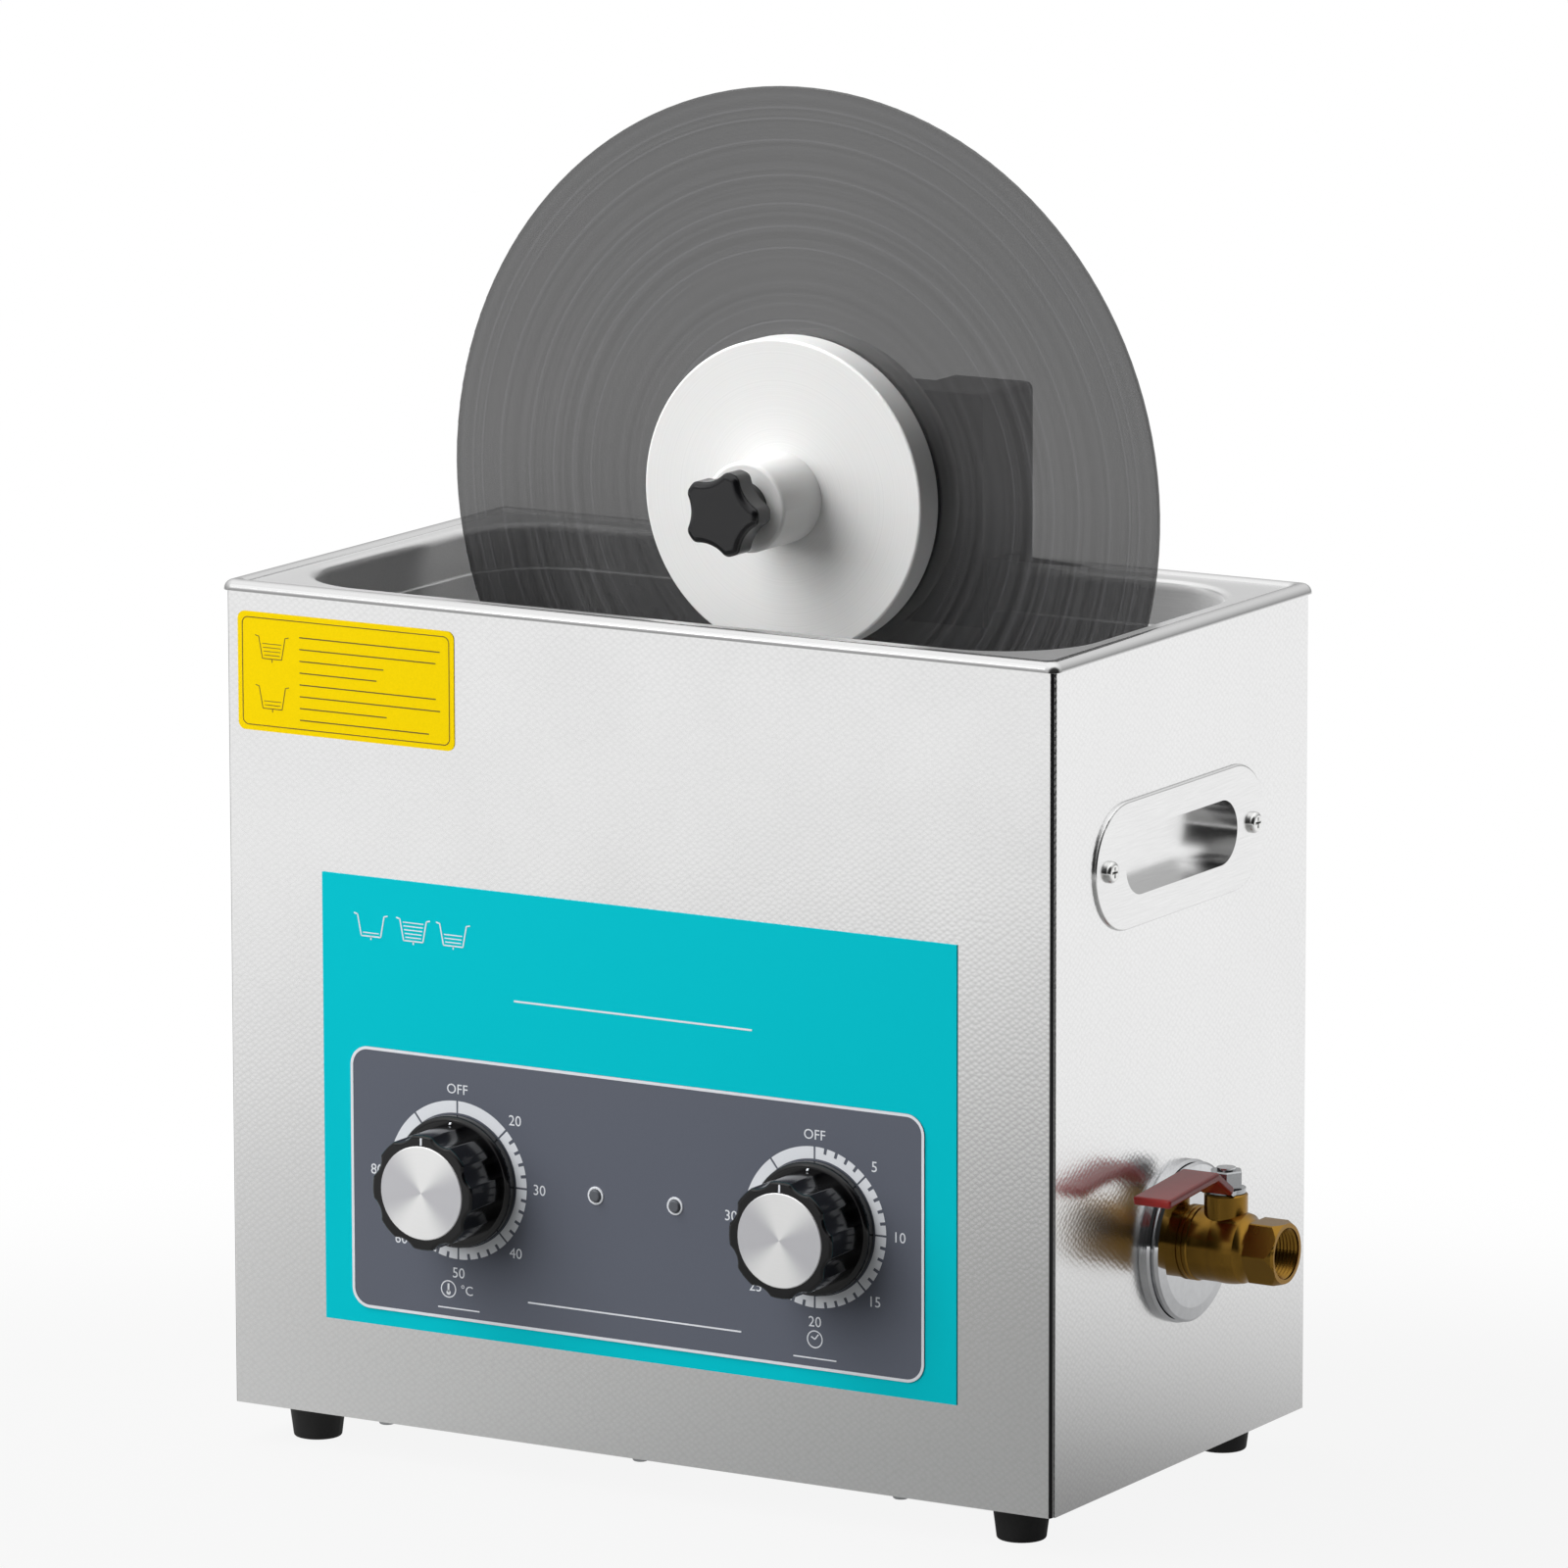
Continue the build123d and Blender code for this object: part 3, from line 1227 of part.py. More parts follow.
with BuildPart() as cover_screws:
    with BuildSketch(box_plane.offset(box_depth)):
        with GridLocations(post_span_x, post_span_z, 2, 2):
            Circle(cover_screw_head)
    extrude(amount=cover_screw_head_height)
    with BuildSketch(box_plane.offset(box_depth)):
        with GridLocations(post_span_x, post_span_z, 2, 2):
            Circle(cover_screw_radius)
    extrude(amount=-cover_screw_length)
    with BuildSketch(box_plane.offset(box_depth + cover_screw_head_height)):
        with GridLocations(post_span_x, post_span_z, 2, 2):
            Rectangle(cover_screw_radius + cover_screw_head / 2, cover_screw_slot)
            Rectangle(cover_screw_slot, cover_screw_radius + cover_screw_head / 2)
    extrude(amount=-cover_screw_head_height / 2, mode=Mode.SUBTRACT)
finish(cover_screws.part, "cover_screws")

# spur gears: a pinion on the motor drives a wheel on the spindle
gear_centres = gear_module * (spindle_gear_teeth + pinion_teeth) / 2
pinion_z = spindle_z - gear_centres
motor_plate_y = gear_y + gear_width + gear_side_gap
motor_face_y = motor_plate_y + motor_plate_sheet


# involute outline with its first tooth centred on the local X axis, or its first gap there
def gear_outline(teeth, gap_first):
    pitch = gear_module * teeth / 2
    base = pitch * cos(radians(pressure_angle))
    root = pitch - gear_dedendum * gear_module
    tip = pitch + gear_addendum * gear_module
    half_tooth = pi / (2 * teeth) - gear_backlash / (4 * pitch)
    at_pitch = tan(radians(pressure_angle)) - radians(pressure_angle)
    flank = []
    for step in range(flank_steps + 1):
        radius = max(base, root) + (tip - max(base, root)) * step / flank_steps
        roll = sqrt(max((radius / base) ** 2 - 1, 0))
        spread = roll - atan(roll)
        flank.append((radius, half_tooth + at_pitch - spread))
    if root < base:
        flank.insert(0, (root, flank[0][1]))
    points = []
    for tooth in range(teeth):
        middle = 2 * pi * (tooth + (0.5 if gap_first else 0)) / teeth
        points += [(r * cos(middle - a), r * sin(middle - a)) for r, a in flank]
        points += [(r * cos(middle + a), r * sin(middle + a)) for r, a in reversed(flank)]
    return points


with BuildPart() as spindle_gear:
    with BuildSketch(Plane(origin=(spindle_x, gear_y, spindle_z), x_dir=(0, 0, -1), z_dir=(0, 1, 0))):
        with BuildLine():
            Polyline(*gear_outline(spindle_gear_teeth, False), close=True)
        make_face()
        Circle(gear_seat_radius, mode=Mode.SUBTRACT)
    extrude(amount=gear_width)
finish(spindle_gear.part, "spindle_gear")

with BuildPart() as motor_pinion:
    with BuildSketch(Plane(origin=(spindle_x, gear_y, pinion_z), x_dir=(0, 0, 1), z_dir=(0, 1, 0))):
        with BuildLine():
            Polyline(*gear_outline(pinion_teeth, True), close=True)
        make_face()
    extrude(amount=gear_width)
    with BuildSketch(facing_back(spindle_x, gear_y + gear_width, pinion_z)):
        Circle(pinion_shaft_radius)
    extrude(amount=motor_face_y + pinion_shaft_depth - gear_y - gear_width)
finish(motor_pinion.part, "motor_pinion")

with BuildPart() as motor_plate:
    with BuildSketch(facing_back(box_mid_x, motor_plate_y, lip_bottom_z + box_wall)):
        with Locations((0, post_size)):
            Rectangle(box_width - 2 * box_wall - 2 * motor_plate_play, motor_plate_height, align=CENTRE_LOW)
    extrude(amount=motor_plate_sheet)
    with BuildSketch(facing_back(spindle_x, motor_plate_y, pinion_z)):
        Circle(motor_boss_radius)
    extrude(amount=motor_plate_sheet, mode=Mode.SUBTRACT)
finish(motor_plate.part, "motor_plate")

with BuildPart() as drive_motor:
    with BuildSketch(facing_back(spindle_x, motor_face_y, pinion_z)):
        Circle(motor_radius)
    extrude(amount=cover_y - motor_face_y)
    with BuildSketch(facing_back(spindle_x, motor_plate_y, pinion_z)):
        Circle(motor_boss_radius)
    extrude(amount=motor_plate_sheet)
    with BuildSketch(facing_back(spindle_x, motor_plate_y, pinion_z)):
        Circle(pinion_shaft_radius + slip_fit)
    extrude(amount=motor_plate_sheet + pinion_shaft_depth + slip_fit, mode=Mode.SUBTRACT)
finish(drive_motor.part, "drive_motor")

# spindle: thick where it runs in the bush, thin where the record sits, threaded in the star knob
shoulder_y = rear_disc_y + shoulder_depth
spindle_back_y = bush_back_y + gear_side_gap / 2
knob_back_face_y = hub_front_y - star_gap
thread_front_y = knob_back_face_y - thread_length

with BuildPart() as spindle:
    with BuildSketch(facing_back(spindle_x, shoulder_y, spindle_z)):
        Circle(spindle_radius)
    extrude(amount=spindle_back_y - shoulder_y)
    with BuildSketch(facing_back(spindle_x, spindle_back_y, spindle_z)):
        Circle(gear_seat_radius)
    extrude(amount=gear_y + gear_width - spindle_back_y)
    with BuildSketch(facing_back(spindle_x, knob_back_face_y, spindle_z)):
        Circle(record_pin_radius)
    extrude(amount=shoulder_y - knob_back_face_y)
    with BuildSketch(facing_back(spindle_x, thread_front_y, spindle_z)):
        Circle(thread_radius)
    extrude(amount=knob_back_face_y - thread_front_y)
finish(spindle.part, "spindle")

with BuildPart() as record:
    with BuildSketch(facing_back(spindle_x, record_front_y, spindle_z)):
        Circle(record_radius)
        Circle(record_hole_radius, mode=Mode.SUBTRACT)
    extrude(amount=record_thickness)
    fillet(record.edges().filter_by(GeomType.CIRCLE).group_by(SortBy.RADIUS)[-1], record_edge_round)
finish(record.part, "record")

# clamp discs that cover the label and keep it dry
with BuildPart() as rear_clamp_disc:
    with BuildSketch(facing_back(spindle_x, rear_disc_y, spindle_z)):
        Circle(clamp_disc_radius)
    extrude(amount=clamp_disc_thickness)
    rear_rims = rear_clamp_disc.edges().filter_by(GeomType.CIRCLE)
    fillet(rear_rims, disc_round)
    with BuildSketch(facing_back(spindle_x, shoulder_y, spindle_z)):
        Circle(spindle_radius)
    extrude(amount=clamp_disc_thickness, mode=Mode.SUBTRACT)
    with BuildSketch(facing_back(spindle_x, rear_disc_y, spindle_z)):
        Circle(record_pin_radius)
    extrude(amount=clamp_disc_thickness, mode=Mode.SUBTRACT)
finish(rear_clamp_disc.part, "rear_clamp_disc")

with BuildPart() as front_clamp_disc:
    with BuildSketch(facing_front(spindle_x, front_disc_y, spindle_z)):
        Circle(clamp_disc_radius)
    extrude(amount=clamp_disc_thickness)
    fillet(front_clamp_disc.edges().filter_by(GeomType.CIRCLE), disc_round)
    with BuildSketch(facing_front(spindle_x, front_disc_y - clamp_disc_thickness, spindle_z)):
        Circle(hub_radius)
    extrude(amount=hub_length)
    fillet(front_clamp_disc.faces().sort_by(Axis.Y)[0].edges(), hub_round)
    with BuildSketch(facing_front(spindle_x, front_disc_y, spindle_z)):
        Circle(record_pin_radius + slip_fit)
    extrude(amount=clamp_disc_thickness + hub_length, mode=Mode.SUBTRACT)
finish(front_clamp_disc.part, "front_clamp_disc")

# star knob with a threaded bore
head_back_y = knob_back_face_y - star_neck_length
with BuildPart() as star_knob:
    with BuildSketch(facing_front(spindle_x, knob_back_face_y, spindle_z)):
        Circle(star_neck_radius)
    extrude(amount=star_neck_length)
    with BuildSketch(facing_front(spindle_x, head_back_y, spindle_z)) as star:
        Circle(star_tip_radius)
        with PolarLocations(star_web_reach + star_hollow_radius, star_lobes, start_angle=180 / star_lobes):
            Circle(star_hollow_radius, mode=Mode.SUBTRACT)
        fillet(star.vertices(), star_lobe_round)
    extrude(amount=star_head_length)
    fillet(star_knob.faces().sort_by(Axis.Y)[0].edges(), star_head_round)
    with BuildSketch(facing_front(spindle_x, knob_back_face_y, spindle_z)):
        Circle(thread_radius + slip_fit)
    extrude(amount=thread_length + thread_end_gap, mode=Mode.SUBTRACT)
finish(star_knob.part, "star_knob")

# motor lead: grommet in the bottom of the drive box, hanging cable and its round socket
grommet_bottom_z = lip_bottom_z - grommet_length
with BuildPart() as lead_grommet:
    with BuildSketch(Plane.XY.offset(lip_bottom_z)):
        with Locations((exit_x, exit_y)):
            Circle(grommet_radius)
    extrude(amount=-grommet_length)
    fillet(lead_grommet.faces().sort_by(Axis.Z)[0].edges(), grommet_round)
    with BuildSketch(Plane.XY.offset(lip_bottom_z)):
        with Locations((exit_x, exit_y)):
            Circle(grommet_shank)
    extrude(amount=box_wall)
finish(lead_grommet.part, "lead_grommet")

lead_points = [
    (exit_x, exit_y, grommet_bottom_z),
    (exit_x, exit_y, grommet_bottom_z - 24),
    (exit_x + 4, exit_y + 3, grommet_bottom_z - 60),
    (exit_x - 1, exit_y + 7, grommet_bottom_z - 100),
    (exit_x - 7, exit_y + 5, grommet_bottom_z - 140),
    (exit_x - 5, exit_y + 1, grommet_bottom_z - 176),
    (exit_x - 5, exit_y + 1, grommet_bottom_z - 198),
]
lead_vectors = [Vector(point) for point in lead_points]
lead_radii = []
for before, here, after in zip(lead_vectors, lead_vectors[1:], lead_vectors[2:]):
    turn = (here - before).get_angle(after - here)
    shorter = min((here - before).length, (after - here).length)
    lead_radii.append(lead_bend_share * shorter / tan(radians(turn) / 2))
print("lead radii", [round(radius, 1) for radius in lead_radii])

with BuildPart() as motor_lead:
    with BuildLine() as lead_path:
        FilletPolyline(*lead_points, radius=lead_radii)
    with BuildSketch(Plane(lead_points[0], z_dir=(0, 0, -1))):
        Circle(lead_radius)
    sweep(path=lead_path.line)
lead_length = sum(edge.length for edge in lead_path.line.edges())
print("lead length", round(lead_length, 1), "volume over section times length",
      round(motor_lead.part.volume / (pi * lead_radius ** 2 * lead_length), 4))
finish(motor_lead.part, "motor_lead")

lead_end = lead_points[-1]
with BuildPart() as lead_socket:
    with BuildSketch(Plane(lead_end, z_dir=(0, 0, -1))):
        Circle(lead_radius + socket_neck_wall)
    with BuildSketch(Plane(lead_end, z_dir=(0, 0, -1)).offset(socket_neck_length)):
        Circle(socket_radius)
    loft()
    with BuildSketch(Plane(lead_end, z_dir=(0, 0, -1)).offset(socket_neck_length)):
        Circle(socket_radius)
    extrude(amount=socket_length - socket_neck_length)
    fillet(lead_socket.faces().sort_by(Axis.Z)[0].edges(), socket_round)
    with BuildSketch(Plane(lead_end, z_dir=(0, 0, -1)).offset(socket_length)):
        Circle(socket_bore_radius)
        Circle(socket_pin_radius, mode=Mode.SUBTRACT)
    extrude(amount=-socket_bore_depth, mode=Mode.SUBTRACT)
finish(lead_socket.part, "lead_socket")
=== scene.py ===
import bmesh
import bpy
from math import pi, radians, cos, sin, sqrt
from mathutils import Matrix, Vector


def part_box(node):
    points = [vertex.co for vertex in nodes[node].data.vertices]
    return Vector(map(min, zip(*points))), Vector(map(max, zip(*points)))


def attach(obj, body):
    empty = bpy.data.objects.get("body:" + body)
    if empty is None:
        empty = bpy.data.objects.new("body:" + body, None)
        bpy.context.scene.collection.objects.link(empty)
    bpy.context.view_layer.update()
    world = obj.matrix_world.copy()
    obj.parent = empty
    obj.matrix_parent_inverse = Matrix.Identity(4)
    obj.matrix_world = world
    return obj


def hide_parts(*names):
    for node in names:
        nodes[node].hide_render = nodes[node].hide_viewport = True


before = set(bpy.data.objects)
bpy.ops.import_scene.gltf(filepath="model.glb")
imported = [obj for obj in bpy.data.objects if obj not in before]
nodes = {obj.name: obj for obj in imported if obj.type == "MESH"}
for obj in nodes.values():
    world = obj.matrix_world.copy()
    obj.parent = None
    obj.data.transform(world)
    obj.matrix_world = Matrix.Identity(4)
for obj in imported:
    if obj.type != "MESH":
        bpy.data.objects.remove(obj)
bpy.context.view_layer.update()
mm = 0.001


# helpers for colours, nodes, places and meshes

def linear(hexColour):  # sRGB hex to the linear values that sockets take
    channels = [int(hexColour[i:i + 2], 16) / 255 for i in (1, 3, 5)]
    return (*[c / 12.92 if c <= 0.04045 else ((c + 0.055) / 1.055) ** 2.4 for c in channels], 1.0)


def dimmed(hexColour, share):  # the same colour with only a share of its light
    return (*[c * share for c in linear(hexColour)[:3]], 1.0)


def addNode(tree, kind, values=None, links=None, **settings):
    node = tree.nodes.new(kind)
    for name, value in settings.items():
        setattr(node, name, value)
    for name, value in (values or {}).items():
        node.inputs[name].default_value = value
    for name, source in (links or {}).items():
        tree.links.new(source, node.inputs[name])
    return node


def startMaterial(name, values):
    material = bpy.data.materials.new(name)
    material.use_nodes = True
    shader = material.node_tree.nodes["Principled BSDF"]
    for socket, value in values.items():
        shader.inputs[socket].default_value = value
    return material, material.node_tree, shader


def millimetres(tree, centre=(0, 0, 0), stretch=(1, 1, 1)):  # Object coordinates in mm, from a centre in mm
    place = addNode(tree, "ShaderNodeTexCoord")
    mapping = addNode(tree, "ShaderNodeMapping",
                      {"Scale": [1000 * s for s in stretch],
                       "Location": [-c * s for c, s in zip(centre, stretch)]},
                      {"Vector": place.outputs["Object"]})
    return mapping.outputs["Vector"]


def pastLimits(tree, point, limits):  # for X and for Y, 1 where a point lies farther out than its limit
    masks = []
    for letter, limit in zip("XY", limits):
        out = addNode(tree, "ShaderNodeMath", links={0: point.outputs[letter]}, operation="ABSOLUTE")
        past = addNode(tree, "ShaderNodeMath", {1: limit}, {0: out.outputs[0]}, operation="GREATER_THAN")
        masks.append(past.outputs[0])
    return masks


def middle(node):  # the middle of a CAD node's box, in metres
    low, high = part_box(node)
    return (low + high) / 2


def finishPiece(name, bm, material, body):
    mesh = bpy.data.meshes.new(name)
    bmesh.ops.recalc_face_normals(bm, faces=bm.faces)
    bm.to_mesh(mesh)
    bm.free()
    piece = bpy.data.objects.new(name, mesh)
    bpy.context.scene.collection.objects.link(piece)
    piece.data.materials.append(material)
    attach(piece, body)


# camera
view = dict(azimuth=30.6, elevation=10.8, distance=4.106, target=(0.0071, 0.0, 0.2503), lens=255.7, roll=0.11,
            sensor=36, near=0.1, far=60)


def makeCamera():
    around, above = radians(view["azimuth"]), radians(view["elevation"])
    away = Vector((sin(around) * cos(above), -cos(around) * cos(above), sin(above)))
    data = bpy.data.cameras.new("camera")
    data.lens = view["lens"]
    data.sensor_width = view["sensor"]
    data.clip_start = view["near"]
    data.clip_end = view["far"]
    camera = bpy.data.objects.new("camera", data)
    camera.rotation_mode = "QUATERNION"
    camera.location = Vector(view["target"]) + away * view["distance"]
    turned = (-away).to_track_quat("-Z", "Y")
    camera.rotation_quaternion = turned @ Matrix.Rotation(radians(-view["roll"]), 3, "Z").to_quaternion()
    bpy.context.scene.collection.objects.link(camera)
    bpy.context.scene.camera = camera


makeCamera()
print("camera ready")

# motor lead: a thin round flex that hangs from the grommet of the drive box
lead = dict(
    points=((-19, 127.5, 260.6), (-19, 127.5, 236.6), (-15, 130.5, 200.6), (-20, 134.5, 160.6),
            (-26, 132.5, 120.6), (-24, 128.5, 84.6), (-24, 128.5, 62.6)),
    diameter=3.5, length=199.0, roundness=5, smoothness=24)


def makeLead(material):
    data = bpy.data.curves.new("motorFlex", "CURVE")
    data.dimensions = "3D"
    data.bevel_depth = lead["diameter"] / 2 * mm
    data.bevel_resolution = lead["roundness"]
    data.resolution_u = lead["smoothness"]
    spline = data.splines.new("NURBS")
    spline.points.add(len(lead["points"]) - 1)
    for point, place in zip(spline.points, lead["points"]):
        point.co = (*[c * mm for c in place], 1)
    spline.order_u = 3
    spline.use_endpoint_u = True
    data.use_fill_caps = True
    flex = bpy.data.objects.new("motorFlex", data)
    bpy.context.scene.collection.objects.link(flex)
    flex.data.materials.append(material)
    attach(flex, "record_holder")
    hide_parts("motor_lead")


# stainless sheet rolled with a linen emboss: short uneven pillows in staggered rows, each with a spark of
# light and with painted shade in the hollows between them, and painted shade in the groove where the
# folded front and rear sheets meet the side sheets
def embossedStainless():
    sheet = dict(colour="#f3f3f3", hollowShade="#e8e8e8", roughness=0.17, glossier=0.03, duller=0.08, patches=50,
                 across=3.3, rowPitch=1.25, uneven=0.4, depth=0.035, groove="#2b2b2c",
                 grooveFrom=(173.5, 94.6))
    material, tree, shader = startMaterial("embossedStainless", {
        "Base Color": linear(sheet["colour"]), "Metallic": 1, "Roughness": sheet["roughness"]})
    place = millimetres(tree)
    point = addNode(tree, "ShaderNodeSeparateXYZ", links={"Vector": place})
    along = addNode(tree, "ShaderNodeMath", links={0: point.outputs["X"], 1: point.outputs["Y"]},
                    operation="ADD")
    flat = addNode(tree, "ShaderNodeCombineXYZ", links={"X": along.outputs[0], "Y": point.outputs["Z"]})
    # a square lattice turned by an eighth gives rows that are staggered by half a pillow
    stretch = (sqrt(2) / sheet["across"], sqrt(2) / (2 * sheet["rowPitch"]), 1)
    turned = addNode(tree, "ShaderNodeMapping", {"Rotation": (0, 0, pi / 4), "Scale": stretch},
                     {"Vector": flat.outputs[0]})
    pillows = addNode(tree, "ShaderNodeTexVoronoi", {"Scale": 1, "Randomness": sheet["uneven"]},
                      {"Vector": turned.outputs[0]}, voronoi_dimensions="2D", feature="F1")
    bump = addNode(tree, "ShaderNodeBump", {"Strength": 1, "Distance": sheet["depth"] * mm},
                   {"Height": pillows.outputs["Distance"]}, invert=True)
    tree.links.new(bump.outputs[0], shader.inputs["Normal"])
    # painted shade: the hollows between the pillows get a darker colour
    hollowShading = addNode(tree, "ShaderNodeMix", {"A": linear(sheet["colour"]), "B": linear(sheet["hollowShade"])},
                      {"Factor": pillows.outputs["Distance"]}, data_type="RGBA")
    # painted shade: a dark colour on the strip in the groove where the front and rear sheets meet the side
    # sheets
    sideways, backwards = pastLimits(tree, point, sheet["grooveFrom"])
    groove = addNode(tree, "ShaderNodeMath", links={0: sideways, 1: backwards}, operation="MULTIPLY")
    colour = addNode(tree, "ShaderNodeMix", {"B": linear(sheet["groove"])},
                     {"Factor": groove.outputs[0], "A": hollowShading.outputs["Result"]}, data_type="RGBA")
    tree.links.new(colour.outputs["Result"], shader.inputs["Base Color"])
    handling = addNode(tree, "ShaderNodeTexNoise", {"Scale": 1 / sheet["patches"], "Detail": 4},
                       {"Vector": place})
    spread = addNode(tree, "ShaderNodeMapRange",
                     {"To Min": sheet["roughness"] - sheet["glossier"],
                      "To Max": sheet["roughness"] + sheet["duller"]},
                     {"Value": handling.outputs["Fac"]})
    tree.links.new(spread.outputs[0], shader.inputs["Roughness"])
    return material


# plain finishes: a soft mottle in colour and gloss over a surface grain, which is drawn coarser than
# real brushing or moulding grain so that it shows
surface = dict(cloud=25, hollowShare=0.86, smoothest=0.02)


def grainedFinish(name, colour, roughness, metallic=0.0, grain=1.0, depth=0.004, mottle=0.06,
                  stretch=(1, 1, 1), extra=None):
    material, tree, shader = startMaterial(name, {
        "Base Color": linear(colour), "Metallic": metallic, "Roughness": roughness, **(extra or {})})
    fine = addNode(tree, "ShaderNodeTexNoise", {"Scale": 1 / grain, "Detail": 3},
                   {"Vector": millimetres(tree, stretch=stretch)})
    bump = addNode(tree, "ShaderNodeBump", {"Strength": 1, "Distance": depth * mm},
                   {"Height": fine.outputs["Fac"]})
    tree.links.new(bump.outputs[0], shader.inputs["Normal"])
    cloud = addNode(tree, "ShaderNodeTexNoise", {"Scale": 1 / surface["cloud"], "Detail": 3},
                    {"Vector": millimetres(tree)})
    gloss = addNode(tree, "ShaderNodeMapRange", {"To Min": max(roughness - mottle, surface["smoothest"]),
                                                 "To Max": roughness + mottle},
                    {"Value": cloud.outputs["Fac"]})
    tree.links.new(gloss.outputs[0], shader.inputs["Roughness"])
    tint = addNode(tree, "ShaderNodeMix", {"A": linear(colour), "B": dimmed(colour, surface["hollowShare"])},
                   {"Factor": fine.outputs["Fac"]}, data_type="RGBA")
    tree.links.new(tint.outputs["Result"], shader.inputs["Base Color"])
    return material


# deep-drawn stainless: dull from the press in the bath, brushed on the flange, polished on the rolled edge;
# painted lighter in the bath, where it is also only partly metallic, and painted darker on the flange and
# the rolled edge, as painted light and shade
def drawnStainless():
    steel = dict(bath=dict(colour="#e8e8e8", metallic=0.6, roughness=0.34, grain=0.9, depth=0.002,
                           mottle=0.05, stretch=(0.05, 1, 1)),
                 flange=dict(colour="#dcdcdc", metallic=0.78, roughness=0.3), flangeDepth=1.5,
                 edge=dict(colour="#dcdcdc", metallic=1.0, roughness=0.16), edgeWidth=7.6, edgeRise=1.3)
    material = grainedFinish("drawnStainless", **steel["bath"])
    tree = material.node_tree
    shader = tree.nodes["Principled BSDF"]
    point = addNode(tree, "ShaderNodeSeparateXYZ", links={"Vector": millimetres(tree)})
    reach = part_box("tank")[1] / mm
    sideways, backwards = pastLimits(tree, point, [far - steel["edgeWidth"] for far in reach[:2]])
    # painted light and shade: a lighter colour in the bath, a darker one on the flange and the rolled edge
    zones = {
        "flange": addNode(tree, "ShaderNodeMath", {1: reach[2] - steel["edgeRise"] - steel["flangeDepth"]},
                          {0: point.outputs["Z"]}, operation="GREATER_THAN"),
        "edge": addNode(tree, "ShaderNodeMath", links={0: sideways, 1: backwards}, operation="MAXIMUM")}
    for zone, share in zones.items():
        look = steel[zone]
        for socket, value in (("Base Color", linear(look["colour"])), ("Roughness", look["roughness"]),
                              ("Metallic", look["metallic"])):
            blend = addNode(tree, "ShaderNodeMix", {"B": value}, {"Factor": share.outputs[0]},
                            data_type="RGBA" if socket == "Base Color" else "FLOAT")
            if shader.inputs[socket].is_linked:
                tree.links.new(shader.inputs[socket].links[0].from_socket, blend.inputs["A"])
            else:
                blend.inputs["A"].default_value = shader.inputs[socket].default_value
            tree.links.new(blend.outputs["Result"], shader.inputs[socket])
    return material


# turned finishes: fine tool rings about an axis, so the gloss spreads across them, drawn coarser than a
# lathe's real feed so that they show; a spun face can get a painted reflection, a greyer colour in a soft fan
# on each side, which leaves it lighter above and below its centre
turning = dict(hollowShare=0.9, paintedFansBeside=(0.14, 0, 0.99), paintedFanStart=0.95, paintedFanFull=0.1)


def turnedFinish(name, colour, roughness, centre, axis, pitch, depth, metallic=0.0, anisotropy=0.0,
                 paintedReflectionFans=None, extra=None):
    material, tree, shader = startMaterial(name, {
        "Base Color": linear(colour), "Metallic": metallic, "Roughness": roughness,
        "Anisotropic": anisotropy, **(extra or {})})
    flat = [0.0 if letter == axis else 1.0 for letter in "XYZ"]
    place = millimetres(tree, [c / mm * f for c, f in zip(centre, flat)], flat)
    radius = addNode(tree, "ShaderNodeVectorMath", links={0: place}, operation="LENGTH")
    ring = addNode(tree, "ShaderNodeTexNoise", {"Scale": 1 / pitch, "Detail": 2},
                   {"W": radius.outputs["Value"]}, noise_dimensions="1D")
    bump = addNode(tree, "ShaderNodeBump", {"Strength": 1, "Distance": depth * mm},
                   {"Height": ring.outputs["Fac"]})
    tree.links.new(bump.outputs[0], shader.inputs["Normal"])
    tint = addNode(tree, "ShaderNodeMix", {"A": linear(colour), "B": dimmed(colour, turning["hollowShare"])},
                   {"Factor": ring.outputs["Fac"]}, data_type="RGBA")
    tree.links.new(tint.outputs["Result"], shader.inputs["Base Color"])
    # painted reflection: a greyer colour in a soft fan on each side of the centre
    if paintedReflectionFans:
        outward = addNode(tree, "ShaderNodeVectorMath", links={0: place}, operation="NORMALIZE")
        heading = addNode(tree, "ShaderNodeVectorMath", {1: turning["paintedFansBeside"]},
                          {0: outward.outputs["Vector"]}, operation="DOT_PRODUCT").outputs["Value"]
        square = addNode(tree, "ShaderNodeMath", links={0: heading, 1: heading}, operation="MULTIPLY")
        side = addNode(tree, "ShaderNodeMapRange",
                       {"From Min": turning["paintedFanStart"], "From Max": turning["paintedFanFull"]},
                       {"Value": square.outputs[0]}, interpolation_type="SMOOTHSTEP")
        fan = addNode(tree, "ShaderNodeMix", {"B": linear(paintedReflectionFans)},
                      {"Factor": side.outputs["Result"], "A": tint.outputs["Result"]}, data_type="RGBA")
        tree.links.new(fan.outputs["Result"], shader.inputs["Base Color"])
    if anisotropy:
        along = addNode(tree, "ShaderNodeTangent", direction_type="RADIAL", axis=axis)
        tree.links.new(along.outputs[0], shader.inputs["Tangent"])
    return material
